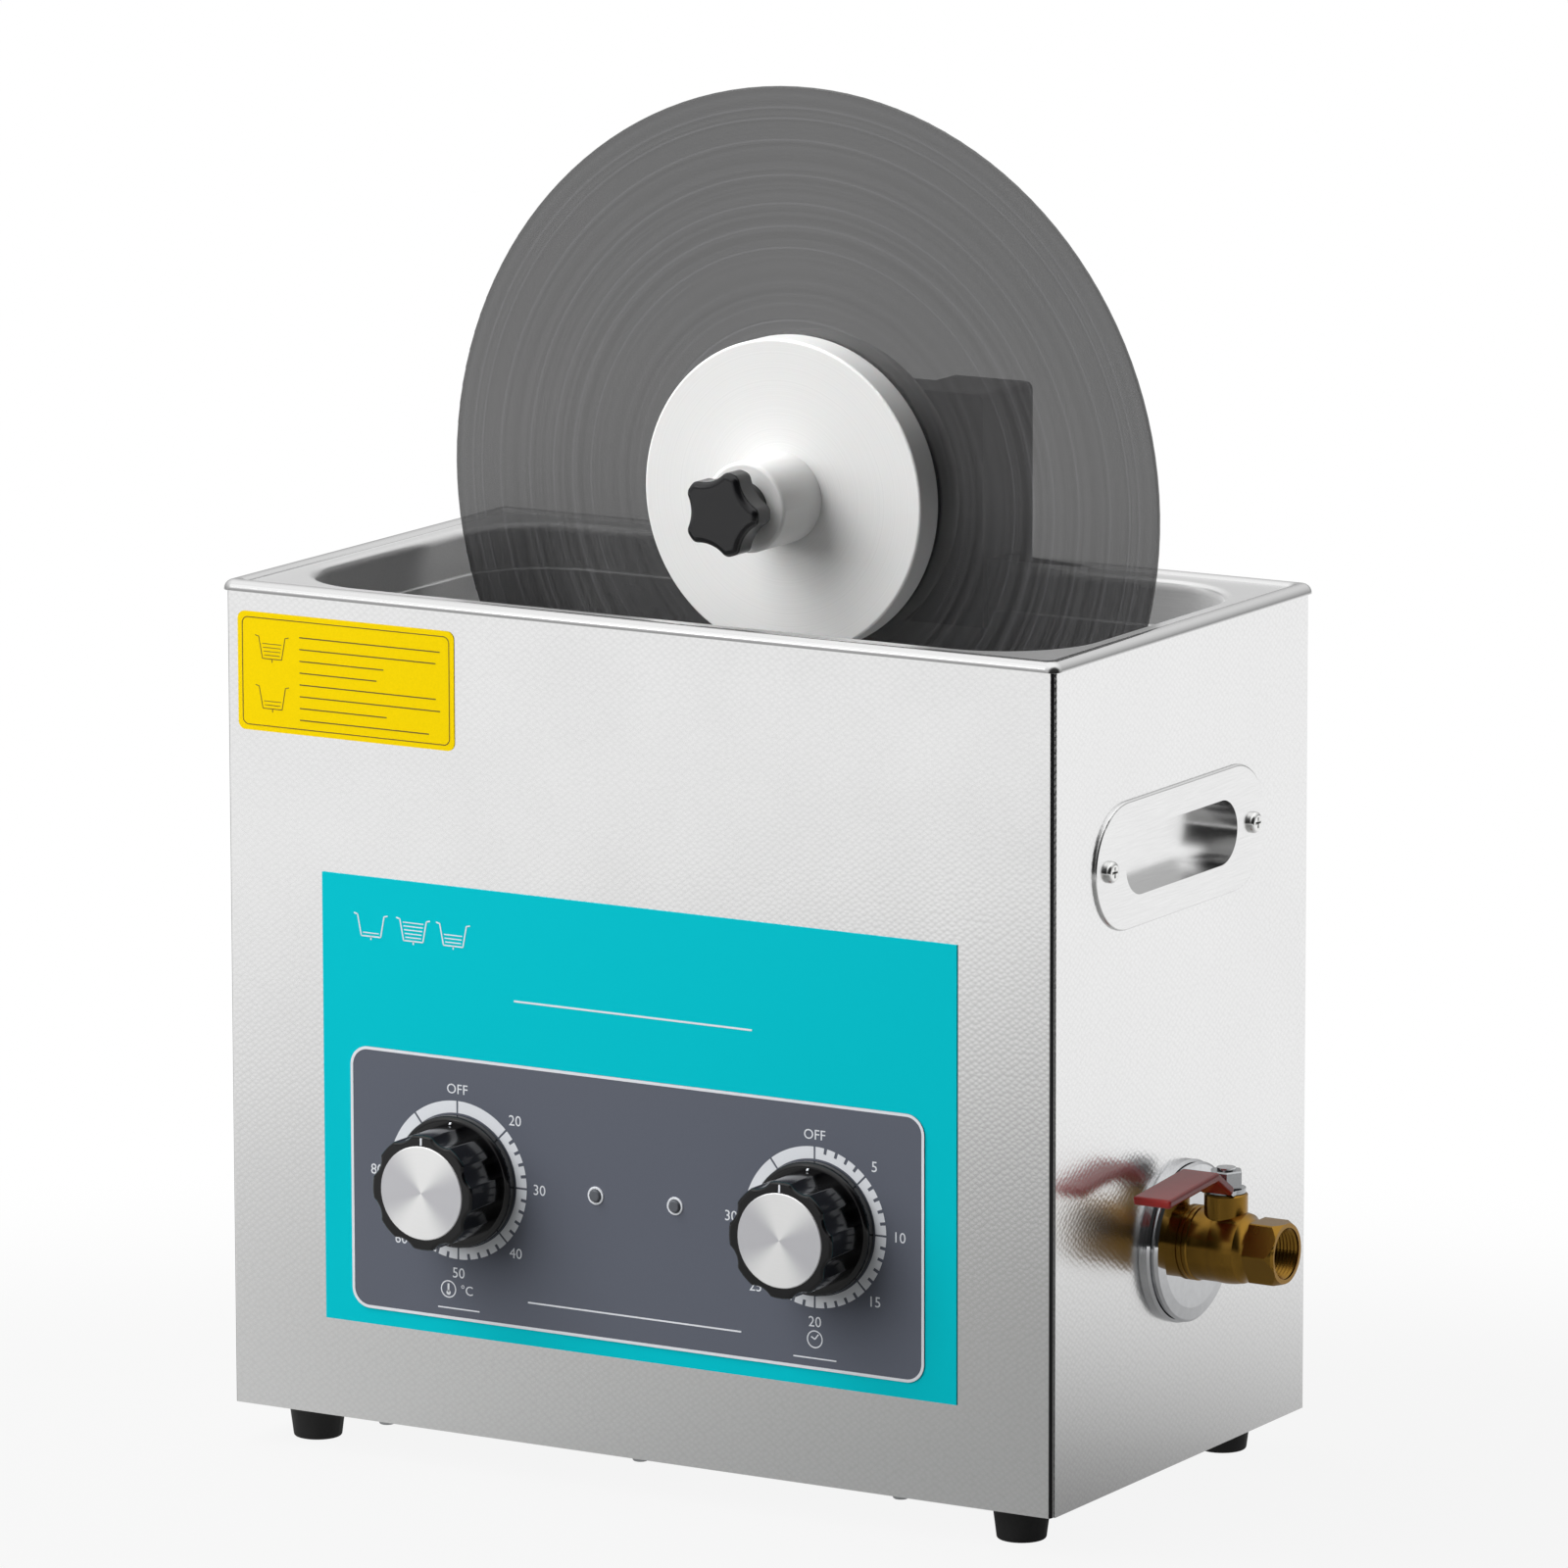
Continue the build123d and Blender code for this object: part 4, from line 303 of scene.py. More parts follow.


# pressed vinyl, smoky and see-through: the groove packs differ in gloss and in tone, the lighter tone a
# painted sheen, with smooth gaps between tracks that are painted lighter as a painted sheen
def groovedVinyl(centre):
    disc = dict(colour="#161617", roughness=0.3, alpha=0.69, anisotropy=0.85, ior=1.54, specular=0.9,
                packsPerMm=0.35, packSheenTones=("#0b0b0c", "#383839"), toneStops=(0.3, 0.7), gloss=(0.22, 0.42),
                gaps=(64, 91, 99, 107.5, 118, 131, 139, 143), gapWidth=0.35, gapSheenColour="#414143")
    material, tree, shader = startMaterial("smokyVinyl", {
        "Base Color": linear(disc["colour"]), "Roughness": disc["roughness"], "Alpha": disc["alpha"],
        "Anisotropic": disc["anisotropy"], "IOR": disc["ior"], "Specular IOR Level": disc["specular"]})
    place = millimetres(tree, (centre.x / mm, 0, centre.z / mm), (1, 0, 1))
    radius = addNode(tree, "ShaderNodeVectorMath", links={0: place}, operation="LENGTH").outputs["Value"]
    packs = addNode(tree, "ShaderNodeTexNoise",
                    {"Scale": disc["packsPerMm"], "Detail": 5, "Roughness": 0.75},
                    {"W": radius}, noise_dimensions="1D")
    smooth = None
    for gap in disc["gaps"]:
        near = addNode(tree, "ShaderNodeMath", {1: gap, 2: disc["gapWidth"]}, {0: radius},
                       operation="COMPARE")
        smooth = near if smooth is None else addNode(
            tree, "ShaderNodeMath", links={0: smooth.outputs[0], 1: near.outputs[0]}, operation="MAXIMUM")
    # painted sheen: the rougher groove packs get a lighter tone
    tone = addNode(tree, "ShaderNodeValToRGB", links={"Fac": packs.outputs["Fac"]})
    for stop, position, shade in zip(tone.color_ramp.elements, disc["toneStops"], disc["packSheenTones"]):
        stop.position = position
        stop.color = linear(shade)
    # painted sheen: the smooth gaps between tracks get a lighter colour
    colour = addNode(tree, "ShaderNodeMix", {"B": linear(disc["gapSheenColour"])},
                     {"Factor": smooth.outputs[0], "A": tone.outputs["Color"]}, data_type="RGBA")
    tree.links.new(colour.outputs["Result"], shader.inputs["Base Color"])
    gloss = addNode(tree, "ShaderNodeMapRange", {"To Min": disc["gloss"][0], "To Max": disc["gloss"][1]},
                    {"Value": packs.outputs["Fac"]})
    tree.links.new(gloss.outputs[0], shader.inputs["Roughness"])
    along = addNode(tree, "ShaderNodeTangent", direction_type="RADIAL", axis="Y")
    tree.links.new(along.outputs[0], shader.inputs["Tangent"])
    return material


spindleCentre = middle("record")
finishes = {
    "embossed": embossedStainless(),
    # sheet brushed along its length: soft reflections that smear sideways
    "satin": grainedFinish("satinStainless", "#cfcfce", 0.3, 1, grain=0.9, depth=0.002, mottle=0.07,
                           stretch=(0.05, 1, 1)),
    "drawn": drawnStainless(),
    # sheet pressed and polished: clear reflections, with faint lines from front to back
    "pressed": grainedFinish("pressedStainless", "#f6f6f6", 0.2, 1, grain=0.6, depth=0.001, mottle=0.04,
                             stretch=(1, 0.05, 1)),
    # polished screw heads: small sharp highlights
    "bright": grainedFinish("brightStainless", "#f2f2f1", 0.15, 1, grain=0.8, depth=0.001, mottle=0.04),
    # zinc plating: a cool grey with a cloudy gloss
    "zinc": grainedFinish("zincPlatedSteel", "#b9bbbd", 0.24, 1, grain=0.8, depth=0.003, mottle=0.08),
    # ground shafts: bright, with faint lines along them
    "ground": grainedFinish("groundSteel", "#c9cacb", 0.16, 1, grain=0.3, depth=0.001, mottle=0.04,
                            stretch=(1, 0.1, 1)),
    # chrome plating: nearly a mirror
    "chrome": grainedFinish("polishedChrome", "#d6d7d9", 0.05, 1, grain=3, depth=0.001, mottle=0.02),
    # cast brass, tumbled: warm, and slightly tarnished in the hollows
    "brass": grainedFinish("castBrass", "#9a7430", 0.24, 1, grain=0.5, depth=0.012, mottle=0.08),
    # aluminium as it comes off the machine: pale, with a dull even sheen
    "aluminium": grainedFinish("turnedAluminium", "#b4b5b7", 0.38, 1, grain=0.5, depth=0.006),
    # black anodised aluminium: satin, nearly black, with a cool sheen at grazing angles
    "anodised": grainedFinish("blackAnodised", "#1b1b1d", 0.36, 0.35, grain=0.35, depth=0.006, mottle=0.06),
    # phenolic from a polished mould: deep black with sharp highlights
    "glossBlack": grainedFinish("glossPhenolic", "#070709", 0.14, grain=6, depth=0.004, mottle=0.03),
    # phenolic from a plainer mould: black with soft highlights
    "starBlack": grainedFinish("mouldedPhenolic", "#121214", 0.24, grain=0.5, depth=0.003, mottle=0.06),
    # ABS from a textured mould: black with a wide dull sheen
    "mattBlack": grainedFinish("mouldedAbs", "#17171a", 0.42, grain=0.4, depth=0.008),
    # filled nylon: dark grey and dry
    "housing": grainedFinish("nylonHousing", "#34353a", 0.5, grain=0.6, depth=0.01),
    # moulded rubber: dull, with almost no highlights
    "rubber": grainedFinish("mouldedRubber", "#141414", 0.62, grain=0.5, depth=0.012),
    # vinyl dipped over the lever: thick, glossy and a little wavy
    "red": grainedFinish("dippedVinyl", "#bc302c", 0.24, grain=5, depth=0.02, mottle=0.05),
    # fired ceramic: cream and matt
    "ceramic": grainedFinish("firedCeramic", "#cfc6ad", 0.5, grain=0.8, depth=0.006),
    # silicone rubber pads: orange brown with a soft texture
    "silicone": grainedFinish("siliconePad", "#b4471f", 0.5, grain=1.2, depth=0.02),
    # solder mask over a glass-fibre board: dark green with a soft gloss
    "board": grainedFinish("solderMask", "#12472b", 0.3, grain=2.0, depth=0.006),
    # moulded lamp lens, unlit: smoky grey and glossy
    "lens": grainedFinish("lampLens", "#585b61", 0.14, grain=2.0, depth=0.002),
    # polyester overlays, screen printed from behind: an even colour under a satin face
    "teal": grainedFinish("tealOverlay", "#00c2cf", 0.45, grain=0.25, depth=0.002, mottle=0.04,
                          extra={"Specular IOR Level": 0.06}),
    "grey": grainedFinish("greyOverlay", "#60646f", 0.42, grain=0.25, depth=0.002, mottle=0.04,
                          extra={"Specular IOR Level": 0.12}),
    # printed vinyl label: a clear yellow with little gloss
    "yellow": grainedFinish("yellowLabel", "#f5d400", 0.35, grain=0.6, depth=0.001, mottle=0.04,
                            extra={"Specular IOR Level": 0.06}),
    # screen inks: flat and opaque
    "whiteInk": grainedFinish("whiteInk", "#e2e5ea", 0.5, grain=0.2, depth=0.001),
    "darkInk": grainedFinish("brownInk", "#6b5310", 0.5, grain=0.2, depth=0.001),
    # turned acetal: milky white, with light passing a little way into it
    "acetal": turnedFinish("turnedAcetal", "#e0e0df", 0.38, spindleCentre, "Y", 0.6, 0.004,
                           extra={"Subsurface Weight": 0.05, "Subsurface Scale": 0.002}),
    "vinyl": groovedVinyl(spindleCentre),
}
# spun aluminium caps: a silver face, with a painted reflection that is greyer in a fan on each side
for dial in ("heater", "timer"):
    finishes[dial + "Cap"] = turnedFinish(dial + "SpunAluminium", "#ffffff", 0.24, middle(dial + "_knob_cap"),
                                          "Y", 0.25, 0.001, metallic=0.5, anisotropy=0.75, paintedReflectionFans="#c9c9cd")

nodeFinishes = {
    "embossed": ("front_panel", "rear_panel", "left_side_panel", "right_side_panel"),
    "drawn": ("tank",),
    "pressed": ("left_handle", "right_handle"),
    "satin": ("base_plate", "motor_plate", "drain_pipe"),
    "bright": ("handle_screws",),
    "zinc": ("base_screws", "foot_screws", "rear_screws", "cover_screws", "valve_lever",
             "lever_nut", "drive_motor", "timer_movement", "back_masses"),
    "ground": ("spindle", "heater_shaft", "timer_shaft"),
    "chrome": ("escutcheon", "valve_ball"),
    "brass": ("valve_body", "spindle_bush", "motor_pinion"),
    "aluminium": ("transducer_horns", "heat_sink"),
    "anodised": ("holder_bracket",),
    "glossBlack": ("heater_knob", "timer_knob"),
    "starBlack": ("star_knob",),
    "mattBlack": ("drive_box", "drive_cover", "power_inlet", "fan_frame", "fan_rotor", "lead_socket",
                  "bracket_screws"),
    "housing": ("thermostat", "board_components"),
    "rubber": ("feet", "lead_grommet", "motor_lead"),
    "red": ("lever_sleeve",),
    "ceramic": ("piezo_rings",),
    "silicone": ("heater_pads",),
    "board": ("generator_board",),
    "lens": ("indicator_lamps",),
    "teal": ("control_overlay",),
    "grey": ("dial_plate",),
    "yellow": ("fill_label",),
    "acetal": ("front_clamp_disc", "rear_clamp_disc", "spindle_gear"),
    "vinyl": ("record",),
    "heaterCap": ("heater_knob_cap",),
    "timerCap": ("timer_knob_cap",),
}
for finish, names in nodeFinishes.items():
    for name in names:
        nodes[name].data.materials.clear()
        nodes[name].data.materials.append(finishes[finish])
nodes["record"].visible_shadow = False  # it dims what lies behind it, and throws no shade of its own
makeLead(finishes["rubber"])
print("finishes ready")

# printing on the front: ink as thin raised shapes, with angles clockwise from the top
ink = dict(thickness=0.06, arcStep=3, curveSteps=3, capitals=0.72)  # capitals' share of the type size


def acrossFace(x, z):  # a step across a front face, in mm
    return Vector((x * mm, 0, z * mm))


def clockPoint(centre, radius, angle):
    return centre + Vector((sin(radians(angle)), 0, cos(radians(angle)))) * radius * mm


def thicken(bm, faces):  # a flat outline becomes a thin closed solid that stands out to the front
    grown = bmesh.ops.extrude_face_region(bm, geom=faces, use_keep_orig=True)
    raised = [part for part in grown["geom"] if isinstance(part, bmesh.types.BMVert)]
    bmesh.ops.translate(bm, vec=(0, -ink["thickness"] * mm, 0), verts=raised)


def addBand(bm, centre, inner, outer, start, stop):  # a ring of ink, or an arc of one
    edge = bm.edges.new([bm.verts.new(clockPoint(centre, radius, start)) for radius in (inner, outer)])
    before = set(bm.faces)
    bmesh.ops.spin(bm, geom=[*edge.verts, edge], cent=centre, axis=(0, 1, 0), angle=radians(stop - start),
                   steps=max(1, round((stop - start) / ink["arcStep"])))
    thicken(bm, [face for face in bm.faces if face not in before])


def addStroke(bm, start, end, width):  # a straight line of ink between two points
    along = (end - start).normalized()
    side = along.cross(Vector((0, 1, 0))) * width / 2 * mm
    face = bm.faces.new([bm.verts.new(p) for p in (start - side, start + side, end + side, end - side)])
    thicken(bm, [face])


def addRule(bm, centre, length, width):  # a level line of ink
    half = acrossFace(length / 2, 0)
    addStroke(bm, centre - half, centre + half, width)


def addFrameLine(bm, low, high, y, radius, width):  # a rounded rectangle drawn as one line
    left, right = low.x + radius * mm, high.x - radius * mm
    bottom, top = low.z + radius * mm, high.z - radius * mm
    corners = [Vector((x, y, z)) for x, z in ((right, top), (right, bottom), (left, bottom), (left, top))]
    middleOfLine = radius - width / 2
    for index, centre in enumerate(corners):
        start, stop = 90 * index, 90 * (index + 1)
        addBand(bm, centre, radius - width, radius, start, stop)
        addStroke(bm, clockPoint(centre, middleOfLine, stop),
                  clockPoint(corners[(index + 1) % 4], middleOfLine, stop), width)


def addWords(bm, words, height, place):
    data = bpy.data.curves.new("words", "FONT")
    data.body = words
    data.size = height / ink["capitals"] * mm
    data.align_x = "CENTER"
    data.align_y = "CENTER"
    data.resolution_u = ink["curveSteps"]
    data.extrude = ink["thickness"] / 2 * mm
    holder = bpy.data.objects.new("words", data)
    bpy.context.scene.collection.objects.link(holder)
    mesh = bpy.data.meshes.new_from_object(holder)
    mesh.transform(Matrix.Translation(place) @ Matrix.Rotation(pi / 2, 4, "X"))
    bm.from_mesh(mesh)
    bpy.data.objects.remove(holder)
    bpy.data.meshes.remove(mesh)


symbolRing = dict(radius=3.3, width=0.45)


def addSymbolRing(bm, place):
    addBand(bm, place, symbolRing["radius"] - symbolRing["width"], symbolRing["radius"], 0, 360)


def thermometer(bm, place):
    sign = dict(toLeft=4.4, bulbDrop=1.3, bulbHole=0.02, bulb=0.9, stemFrom=-1.2, stemTo=2.1, stemWidth=0.8,
                unit="°C", unitHeight=3.6, unitToRight=3.6)
    ring = place + acrossFace(-sign["toLeft"], 0)
    addSymbolRing(bm, ring)
    addBand(bm, ring + acrossFace(0, -sign["bulbDrop"]), sign["bulbHole"], sign["bulb"], 0, 360)
    addStroke(bm, ring + acrossFace(0, sign["stemFrom"]), ring + acrossFace(0, sign["stemTo"]),
              sign["stemWidth"])
    addWords(bm, sign["unit"], sign["unitHeight"], place + acrossFace(sign["unitToRight"], 0))


def clock(bm, place):
    hands = dict(hour=(-1.5, 0.9), minute=(1.5, 1.9), width=0.5)
    addSymbolRing(bm, place)
    addStroke(bm, place + acrossFace(*hands["hour"]), place, hands["width"])
    addStroke(bm, place, place + acrossFace(*hands["minute"]), hands["width"])


# a ring in arcs from number to number; up to combTo its outer half is notched like a comb
scaleRing = dict(inner=25.3, step=27.6, outer=29.8, gap=1.6, notch=2.4, tooth=9, combTo=270, bandBreak=322,
                 numberRadius=35.2, numberHeight=4.0, offRadius=34.0, offHeight=3.8, symbolDrop=41.5,
                 ruleDrop=48.6, ruleLength=18, ruleWidth=0.5)
scales = dict(
    heater=dict(numbers={"20": 45, "30": 90, "40": 135, "50": 180, "60": 225, "80": 270}, combFrom=45,
                symbol=thermometer),
    timer=dict(numbers={"5": 45, "10": 90, "15": 135, "20": 180, "25": 225, "30": 270}, combFrom=0,
               symbol=clock))
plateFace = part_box("dial_plate")[0].y
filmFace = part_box("control_overlay")[0].y
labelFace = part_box("fill_label")[0].y


def makeScale(dial):
    ring, scale = scaleRing, scales[dial]
    centre = middle(dial + "_knob")
    centre.y = plateFace
    bm = bmesh.new()
    stops = sorted([0, ring["bandBreak"], 360, *scale["numbers"].values()])
    for start, stop in zip(stops, stops[1:]):
        low, high = start + ring["gap"] / 2, stop - ring["gap"] / 2
        if not scale["combFrom"] <= start < ring["combTo"]:
            addBand(bm, centre, ring["inner"], ring["outer"], low, high)
            continue
        addBand(bm, centre, ring["inner"], ring["step"], low, high)
        teeth = round((stop - start) / ring["tooth"])
        for tooth in range(teeth):
            left = low if tooth == 0 else start + tooth * ring["tooth"] + ring["notch"] / 2
            right = high if tooth == teeth - 1 else start + (tooth + 1) * ring["tooth"] - ring["notch"] / 2
            addBand(bm, centre, ring["step"], ring["outer"], left, right)
    addWords(bm, "OFF", ring["offHeight"], clockPoint(centre, ring["offRadius"], 0))
    for words, angle in scale["numbers"].items():
        addWords(bm, words, ring["numberHeight"], clockPoint(centre, ring["numberRadius"], angle))
    scale["symbol"](bm, centre + acrossFace(0, -ring["symbolDrop"]))
    addRule(bm, centre + acrossFace(0, -ring["ruleDrop"]), ring["ruleLength"], ring["ruleWidth"])
    finishPiece(dial + "Scale", bm, finishes["whiteInk"], "cabinet")


def makePlateBorder():
    border = dict(radius=7.5, width=1.1, ruleRise=10.3, ruleLength=91, ruleWidth=0.6)
    low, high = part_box("dial_plate")
    bm = bmesh.new()
    addFrameLine(bm, low, high, plateFace, border["radius"], border["width"])
    rule = Vector(((low.x + high.x) / 2, plateFace, low.z + border["ruleRise"] * mm))
    addRule(bm, rule, border["ruleLength"], border["ruleWidth"])
    finishPiece("plateBorder", bm, finishes["whiteInk"], "cabinet")


# a tub in outline with a turned-out rim and a drain stub, filled with some lines of water
basin = dict(outline=((-7, 5), (-5.5, 4.6), (-4, -4), (4, -4), (5.5, 4.6), (7, 5)),
             drain=((0, -4), (0, -5.4)), floor=-4, halfFloor=4.0, flare=0.17, lowLine=-2.6, linePitch=1.5,
             lineShare=0.8, clear=1.0)


def addBasin(bm, place, scale, lines, width):
    def at(x, z):
        return place + Vector((x * scale[0], 0, z * scale[1])) * mm

    for outline in (basin["outline"], basin["drain"]):
        for start, end in zip(outline, outline[1:]):
            addStroke(bm, at(*start), at(*end), width)
    for row in range(lines):
        z = basin["lowLine"] + row * basin["linePitch"]
        half = basin["halfFloor"] + (z - basin["floor"]) * basin["flare"] - basin["clear"]
        addStroke(bm, at(-half, z), at(half, z), width * basin["lineShare"])


def makeFilmPrint():
    marks = dict(columns=(21.2, 39.6, 56.9), waterLines=(1, 5, 3), drop=18.5, scale=(1.05, 0.92), line=0.5,
                 ruleDrop=40, ruleToLeft=1, ruleLength=101, ruleWidth=0.7)
    low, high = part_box("control_overlay")
    bm = bmesh.new()
    for column, lines in zip(marks["columns"], marks["waterLines"]):
        place = Vector((low.x + column * mm, filmFace, high.z - marks["drop"] * mm))
        addBasin(bm, place, marks["scale"], lines, marks["line"])
    rule = Vector(((low.x + high.x) / 2 - marks["ruleToLeft"] * mm, filmFace,
                   high.z - marks["ruleDrop"] * mm))
    addRule(bm, rule, marks["ruleLength"], marks["ruleWidth"])
    finishPiece("filmPrint", bm, finishes["whiteInk"], "cabinet")


def makeLabelPrint():  # a frame, two tubs, and rules of uneven length that stand for lines of words
    label = dict(inset=1.9, radius=2.6, line=0.35, basins=((0.3, 4), (0.72, 2)), basinColumn=15,
                 basinScale=(1.05, 0.95), basinLine=0.32, firstRow=8, rowPitch=4.4, rowsFrom=27, rowsTo=88,
                 rowShares=(1, 0.97, 0.6, 0.55, 0.97, 1, 0.62, 0.92), rowWidth=0.45)
    low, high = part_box("fill_label")
    inset = acrossFace(label["inset"], label["inset"])
    bm = bmesh.new()
    addFrameLine(bm, low + inset, high - inset, labelFace, label["radius"], label["line"])
    for drop, lines in label["basins"]:
        place = Vector((low.x + label["basinColumn"] * mm, labelFace, high.z - drop * (high.z - low.z)))
        addBasin(bm, place, label["basinScale"], lines, label["basinLine"])
    for row, share in enumerate(label["rowShares"]):
        z = high.z - (label["firstRow"] + row * label["rowPitch"]) * mm
        left = low.x + label["rowsFrom"] * mm
        right = left + (label["rowsTo"] - label["rowsFrom"]) * share * mm
        addStroke(bm, Vector((left, labelFace, z)), Vector((right, labelFace, z)), label["rowWidth"])
    finishPiece("labelPrint", bm, finishes["darkInk"], "cabinet")


for dial in scales:
    makeScale(dial)
makePlateBorder()
makeFilmPrint()
makeLabelPrint()
print("printing ready")


# lamp bezels, pointer marks and the outlet's thread

def spinSection(bm, centre, offsets, axis, steps):  # turns a closed outline once round an axis
    corners = [bm.verts.new(centre + offset) for offset in offsets]
    edges = [bm.edges.new(pair) for pair in zip(corners, corners[1:] + corners[:1])]
    bmesh.ops.spin(bm, geom=[*corners, *edges], cent=centre, axis=axis, angle=2 * pi, steps=steps,
                   use_merge=True)


def makeLampRings():
    bezel = dict(inner=2.45, outer=3.4, height=0.35, chamfer=0.15, fromEnd=2.4, steps=40)
    outline = ((bezel["inner"], 0), (bezel["outer"], 0), (bezel["outer"] - bezel["chamfer"], bezel["height"]),
               (bezel["inner"] + bezel["chamfer"], bezel["height"]))
    low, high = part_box("indicator_lamps")
    bm = bmesh.new()
    for x in (low.x + bezel["fromEnd"] * mm, high.x - bezel["fromEnd"] * mm):
        spinSection(bm, Vector((x, plateFace, (low.z + high.z) / 2)),
                    [Vector((radius * mm, -height * mm, 0)) for radius, height in outline], (0, 1, 0),
                    bezel["steps"])
    finishPiece("lampRings", bm, finishes["whiteInk"], "cabinet")


def makePointer(dial):  # one bar on the grip's face and one down the slope of the skirt
    mark = dict(width=0.8, thickness=0.25, grip=dict(radius=19.2, length=2.8, slope=0),
                skirt=dict(radius=23.2, length=3.6, slope=-45), skirtForward=3.3)
    low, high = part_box(dial + "_knob")
    centre = middle(dial + "_knob")
    bm = bmesh.new()
    for bar, y in ((mark["grip"], low.y), (mark["skirt"], high.y - mark["skirtForward"] * mm)):
        place = Matrix.Translation((centre.x, y, centre.z + bar["radius"] * mm))
        slope = Matrix.Rotation(radians(bar["slope"]), 4, "X")
        size = Matrix.Diagonal((mark["width"] * mm, mark["thickness"] * mm, bar["length"] * mm, 1))
        bmesh.ops.create_cube(bm, size=1, matrix=place @ slope @ size)
    finishPiece(dial + "Pointer", bm, finishes["whiteInk"], dial + "_dial")


def makeOutletThread():
    thread = dict(pitch=1.4, depth=0.7, turns=7, radius=9.5, setBack=1.0, overlap=0.05, steps=64)
    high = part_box("valve_body")[1]
    centre = Vector((high.x, 0, middle("escutcheon").z))
    outline = [(thread["setBack"], thread["radius"])]
    for turn in range(thread["turns"]):
        at = thread["setBack"] + turn * thread["pitch"]
        outline += [(at + thread["pitch"] / 2, thread["radius"] - thread["depth"]),
                    (at + thread["pitch"], thread["radius"] - thread["overlap"])]
    outline += [(outline[-1][0], thread["radius"] + thread["overlap"]),
                (thread["setBack"], thread["radius"] + thread["overlap"])]
    bm = bmesh.new()
    spinSection(bm, centre, [Vector((-back * mm, 0, radius * mm)) for back, radius in outline], (1, 0, 0),
                thread["steps"])
    finishPiece("outletThread", bm, finishes["brass"], "cabinet")


makeLampRings()
for dial in scales:
    makePointer(dial)
makeOutletThread()
print("small pieces ready")

# studio: a pale floor, a soft room and three lamps; the camera sees only white behind the object
studio = dict(floorMiddle=(0.25, -0.5, 0), floorRadius=1.1, floorEdges=96, floorShadeColour="#757574",
              floorRoughness=0.9, nearShare=0.9, shadeFrom=0.7, shadeTo=1.05, glossNear=0.02, glossFar=1.0,
              glossFrom=0.15, glossTo=1.2)


def seenDirectly(tree, path):  # 1 for what the camera looks at, by itself or through something clear
    seen = addNode(tree, "ShaderNodeMath", links={0: path.outputs["Is Camera Ray"],
                                                  1: path.outputs["Is Transmission Ray"]},
                   operation="MAXIMUM")
    return seen.outputs[0]


def makeFloor():
    bm = bmesh.new()
    bmesh.ops.create_circle(bm, cap_ends=True, segments=studio["floorEdges"], radius=studio["floorRadius"],
                            matrix=Matrix.Translation(studio["floorMiddle"]))
    mesh = bpy.data.meshes.new("floor")
    bm.to_mesh(mesh)
    bm.free()
    floor = bpy.data.objects.new("floor", mesh)
    bpy.context.scene.collection.objects.link(floor)
    material, tree, shader = startMaterial("paleFloor", {
        "Base Color": linear(studio["floorShadeColour"]), "Roughness": studio["floorRoughness"]})
    path = addNode(tree, "ShaderNodeLightPath")
    # the white share grows to all of it away from the object, so the floor has no visible edge; glossy rays
    # see white only far away, and near the object a dark grey floor, a painted shade that metal reflects
    reach = addNode(tree, "ShaderNodeVectorMath", {1: studio["floorMiddle"]},
                    {0: addNode(tree, "ShaderNodeTexCoord").outputs["Object"]}, operation="DISTANCE")
    white, mirrored = [
        addNode(tree, "ShaderNodeMapRange",
                {"From Min": start, "From Max": stop, "To Min": low, "To Max": high},
                {"Value": reach.outputs["Value"]}, interpolation_type="SMOOTHSTEP").outputs["Result"]
        for start, stop, low, high in (
            (studio["shadeFrom"], studio["shadeTo"], studio["nearShare"], 1),
            (studio["glossFrom"], studio["glossTo"], studio["glossNear"], studio["glossFar"]))]
    direct = addNode(tree, "ShaderNodeMath", links={0: seenDirectly(tree, path), 1: white},
                     operation="MULTIPLY")
    # painted shade: near the object, glossy rays see the dark grey floor instead of white
    share = addNode(tree, "ShaderNodeMath", links={0: path.outputs["Is Glossy Ray"], 1: mirrored,
                                                   2: direct.outputs[0]}, operation="MULTIPLY_ADD")
    glow = addNode(tree, "ShaderNodeEmission", {"Color": (1, 1, 1, 1), "Strength": 1})
    blend = addNode(tree, "ShaderNodeMixShader", links={"Fac": share.outputs[0], 1: shader.outputs[0],
                                                        2: glow.outputs[0]})
    tree.links.new(blend.outputs[0], tree.nodes["Material Output"].inputs["Surface"])
    floor.data.materials.append(material)


# strengths by height, and three patches of the room that change them
sky = dict(colour="#f8f8f8", diffuse=0.6, below=1.03, belowFrom=-0.02, belowFull=-0.1, horizon=0.38,
           zenith=1.3, zenithHeight=0.9,
           dark=dict(towards=(0.86, -0.5, 0), start=0.42, stop=0.76, change=-0.95),
           window=dict(towards=(-0.5, -0.65, 0.57), start=0.92, stop=0.985, change=0.35),
           rightWall=dict(towards=(1, 0, 0.15), start=-0.5, stop=0.65, change=-0.88))


